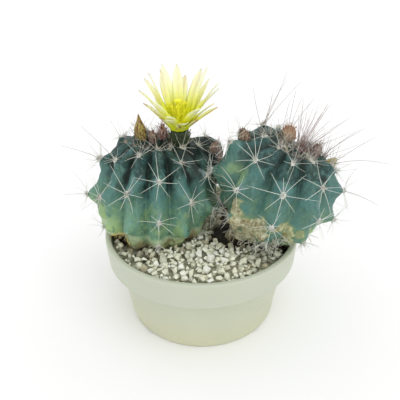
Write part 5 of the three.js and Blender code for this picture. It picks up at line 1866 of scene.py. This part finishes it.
def bud_material(bud):
    """Papery scales from the foot's colour to the tip's, with dry edges."""
    finish = Finish(f"{bud.name}_paper", roughness=0.7)
    streaks = finish.ramp(finish.noise(0.8, 3, 0.6, (1, 1, 0.16)), 0.44, 0.6)
    fibres = finish.noise(0.6, 4, 0.65)
    finish.colour(
        srgb(*bud.foot),
        (finish.math("MAXIMUM", finish.painted("edge"), streaks), srgb(*bud.tip)),
        (finish.ramp(fibres, 0.45, 0.75, 0, 0.4), srgb(214, 204, 178)),
    )
    finish.bump(fibres, 0.15)
    return finish.material


def build_bud(bud, settings):
    """A pointed core wrapped in scales that climb it in a spiral, with dry threads on an old one."""
    shape = Shape()
    share = np.linspace(0, 0.97, 14)
    profile = [(0, 0), *zip(bud.core_radius(share), share * bud.length), (0, bud.length * 0.99)]
    points, faces = turned(profile, settings.core_sides)
    shape.add(bud.world(points), faces, edge=0.15)
    for index in range(bud.scales):
        climb = index / bud.scales
        height = bud.length * (0.1 + 0.62 * climb)
        length = bud.length * (0.24 + 0.1 * climb)
        radius = float(bud.core_radius(height / bud.length)) * 0.96
        width = 1.65 * radius + 0.6
        taper = (float(bud.core_radius((height + length) / bud.length)) - radius) / length
        lean = max(taper, -0.35) + bud.openness
        points, faces, edge = scale_blade(radius, height, length, width, lean, settings.scale_rows)
        shape.add(bud.world(turned_by(points, index * GOLDEN_ANGLE)), faces, edge=edge)
    if bud.threads:
        add_threads(shape, bud)
    add_piece(shape.mesh(f"{bud.name}_scaled"), bud_material(bud), bud.name)


def add_threads(shape, bud):
    """Dry threads that stand out all round a bud."""
    draw = np.random.default_rng(len(bud.name) + bud.threads)
    up = np.array([0, 0, 1.0])
    flat = level(draw.uniform(0, FULL_TURN, bud.threads))
    way, bend = lifted(flat, up, draw.uniform(0.9, 1.5, bud.threads))
    height = draw.uniform(0.2, 0.85, bud.threads)[:, None]
    root = flat * bud.core_radius(height) * 0.8 + up * height * bud.length
    length = bud.length * draw.uniform(0.22, 0.5, bud.threads)
    curve = draw.uniform(-1.2, 1.2, bud.threads)
    lines = spine_lines(root, way, bend, length, curve, steps=BUD_THREAD_STEPS)
    points, faces = tubes(lines, np.linspace(0.16, 0.05, BUD_THREAD_STEPS), 4)
    shape.add(bud.world(points), faces, edge=draw.uniform(0.2, 0.8))


# The stage

FLOOR_REACH = 4000
FLOOR_POINTS = 40
SUN_DIRECTION = (0.35, -0.5, 0.8)
SUN_SPREAD = 50


def build_stage(stage):
    """A pale floor, white surroundings, a soft light and the camera."""
    axis = np.linspace(-FLOOR_REACH, FLOOR_REACH, FLOOR_POINTS)
    grid = np.stack([*np.meshgrid(axis, axis, indexing="xy"), np.zeros((FLOOR_POINTS, FLOOR_POINTS))], -1)
    shape = Shape()
    shape.add(grid, grid_faces(FLOOR_POINTS, FLOOR_POINTS, closed=False))
    floor = bpy.data.objects.new("studio_floor", shape.mesh("studio_floor"))
    finish = Finish("floor_paper", roughness=0.9)
    finish.shader.inputs["Base Color"].default_value = (*stage.floor_colour, 1)
    floor.data.materials.append(finish.material)
    bpy.context.scene.collection.objects.link(floor)

    world = bpy.data.worlds.new("white_room")
    world.use_nodes = True
    background = world.node_tree.nodes["Background"]
    background.inputs["Color"].default_value = (1, 1, 1, 1)
    background.inputs["Strength"].default_value = stage.sky
    bpy.context.scene.world = world

    light = bpy.data.lights.new("key", "SUN")
    light.angle = math.radians(SUN_SPREAD)
    light.energy = stage.key
    lamp = bpy.data.objects.new("key", light)
    lamp.rotation_euler = Vector(SUN_DIRECTION).to_track_quat("Z", "Y").to_euler()
    bpy.context.scene.collection.objects.link(lamp)

    camera = bpy.data.objects.new("camera", bpy.data.cameras.new("camera"))
    camera.data.lens = millimetres(stage.lens)
    camera.data.sensor_width = 36
    camera.data.clip_start = 0.01
    camera.data.clip_end = 20
    look = Matrix.Rotation(math.pi / 2 - stage.pitch, 4, "X") @ Matrix.Rotation(-stage.roll, 4, "Z")
    camera.matrix_world = Matrix.Translation(stage.place) @ look
    bpy.context.scene.collection.objects.link(camera)
    bpy.context.scene.camera = camera
    bpy.context.scene.view_settings.view_transform = "Standard"


# Operators and the panel


class CactusOperator:
    """What the builders share: their undo, and the settings that they read."""

    bl_options = {"REGISTER", "UNDO"}

    @property
    def settings(self):
        """The scene's settings of the potted cactus."""
        return bpy.context.scene.potted_cactus


class CACTUS_OT_pot(CactusOperator, bpy.types.Operator):
    """Build the pot with its collar and drain holes"""

    bl_idname = "cactus.pot"
    bl_label = "Pot"

    def execute(self, context):
        build_pot(self.settings.pot)
        return {"FINISHED"}


class CACTUS_OT_stems(CactusOperator, bpy.types.Operator):
    """Build the ribbed skin of both stems"""

    bl_idname = "cactus.stems"
    bl_label = "Stems"

    def execute(self, context):
        skin_material(self.settings.stem)
        for stem in STEMS:
            build_skin(stem, self.settings.stem, self.settings.pot)
        return {"FINISHED"}


class CACTUS_OT_soil(CactusOperator, bpy.types.Operator):
    """Build the bed of soil round the stems"""

    bl_idname = "cactus.soil"
    bl_label = "Soil"

    def execute(self, context):
        build_soil(self.settings.bed)
        return {"FINISHED"}


class CACTUS_OT_grit(CactusOperator, bpy.types.Operator):
    """Lay the stones of the top dressing"""

    bl_idname = "cactus.grit"
    bl_label = "Grit"

    def execute(self, context):
        build_grit(self.settings.bed)
        return {"FINISHED"}


class CACTUS_OT_flower(CactusOperator, bpy.types.Operator):
    """Build the open flower with its tube, petals and stamens"""

    bl_idname = "cactus.flower"
    bl_label = "Flower"

    def execute(self, context):
        build_flower(self.settings.flower)
        return {"FINISHED"}


class CACTUS_OT_buds(CactusOperator, bpy.types.Operator):
    """Build the buds and the withered flowers"""

    bl_idname = "cactus.buds"
    bl_label = "Buds"

    def execute(self, context):
        for bud in BUDS:
            build_bud(bud, self.settings.bud)
        return {"FINISHED"}


class CACTUS_OT_spines(CactusOperator, bpy.types.Operator):
    """Grow the wool and the spines on every areole"""

    bl_idname = "cactus.spines"
    bl_label = "Spines and wool"

    def execute(self, context):
        spine_material(self.settings.spine)
        wool_material(self.settings.spine)
        for stem in STEMS:
            build_spines(stem, self.settings.spine)
            build_wool(stem, self.settings.spine)
        return {"FINISHED"}


class CACTUS_OT_stage(CactusOperator, bpy.types.Operator):
    """Set up the floor, the light and the camera"""

    bl_idname = "cactus.stage"
    bl_label = "Stage"

    def execute(self, context):
        build_stage(self.settings.stage)
        return {"FINISHED"}


OPERATORS = (
    (CACTUS_OT_pot, "pot"),
    (CACTUS_OT_stems, "stem"),
    (CACTUS_OT_soil, "bed"),
    (CACTUS_OT_grit, "bed"),
    (CACTUS_OT_flower, "flower"),
    (CACTUS_OT_buds, "bud"),
    (CACTUS_OT_spines, "spine"),
    (CACTUS_OT_stage, "stage"),
)


class CACTUS_PT_panel(bpy.types.Panel):
    """The builders of the potted cactus and their settings"""

    bl_idname = "CACTUS_PT_panel"
    bl_label = "Potted Cactus"
    bl_space_type = "VIEW_3D"
    bl_region_type = "UI"
    bl_category = "Cactus"

    def draw(self, context):
        settings = context.scene.potted_cactus
        for operator, group in OPERATORS:
            box = self.layout.box()
            box.operator(operator.bl_idname)
            values = getattr(settings, group)
            for name in type(values).__annotations__:
                box.prop(values, name)


CLASSES = (
    PotSettings,
    BedSettings,
    StemSettings,
    SpineSettings,
    FlowerSettings,
    BudSettings,
    StageSettings,
    CactusSettings,
    *(operator for operator, _ in OPERATORS),
    CACTUS_PT_panel,
)


def register():
    """Registers the classes and hangs the settings on the scene."""
    for item in CLASSES:
        bpy.utils.register_class(item)
    bpy.types.Scene.potted_cactus = PointerProperty(type=CactusSettings)


def unregister():
    """Takes the settings and the classes away again."""
    del bpy.types.Scene.potted_cactus
    for item in reversed(CLASSES):
        bpy.utils.unregister_class(item)


def main():
    """Registers the add-on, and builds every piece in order."""
    register()
    for operator, _ in OPERATORS:
        group, name = operator.bl_idname.split(".")
        getattr(getattr(bpy.ops, group), name)()


if __name__ == "__main__":
    main()
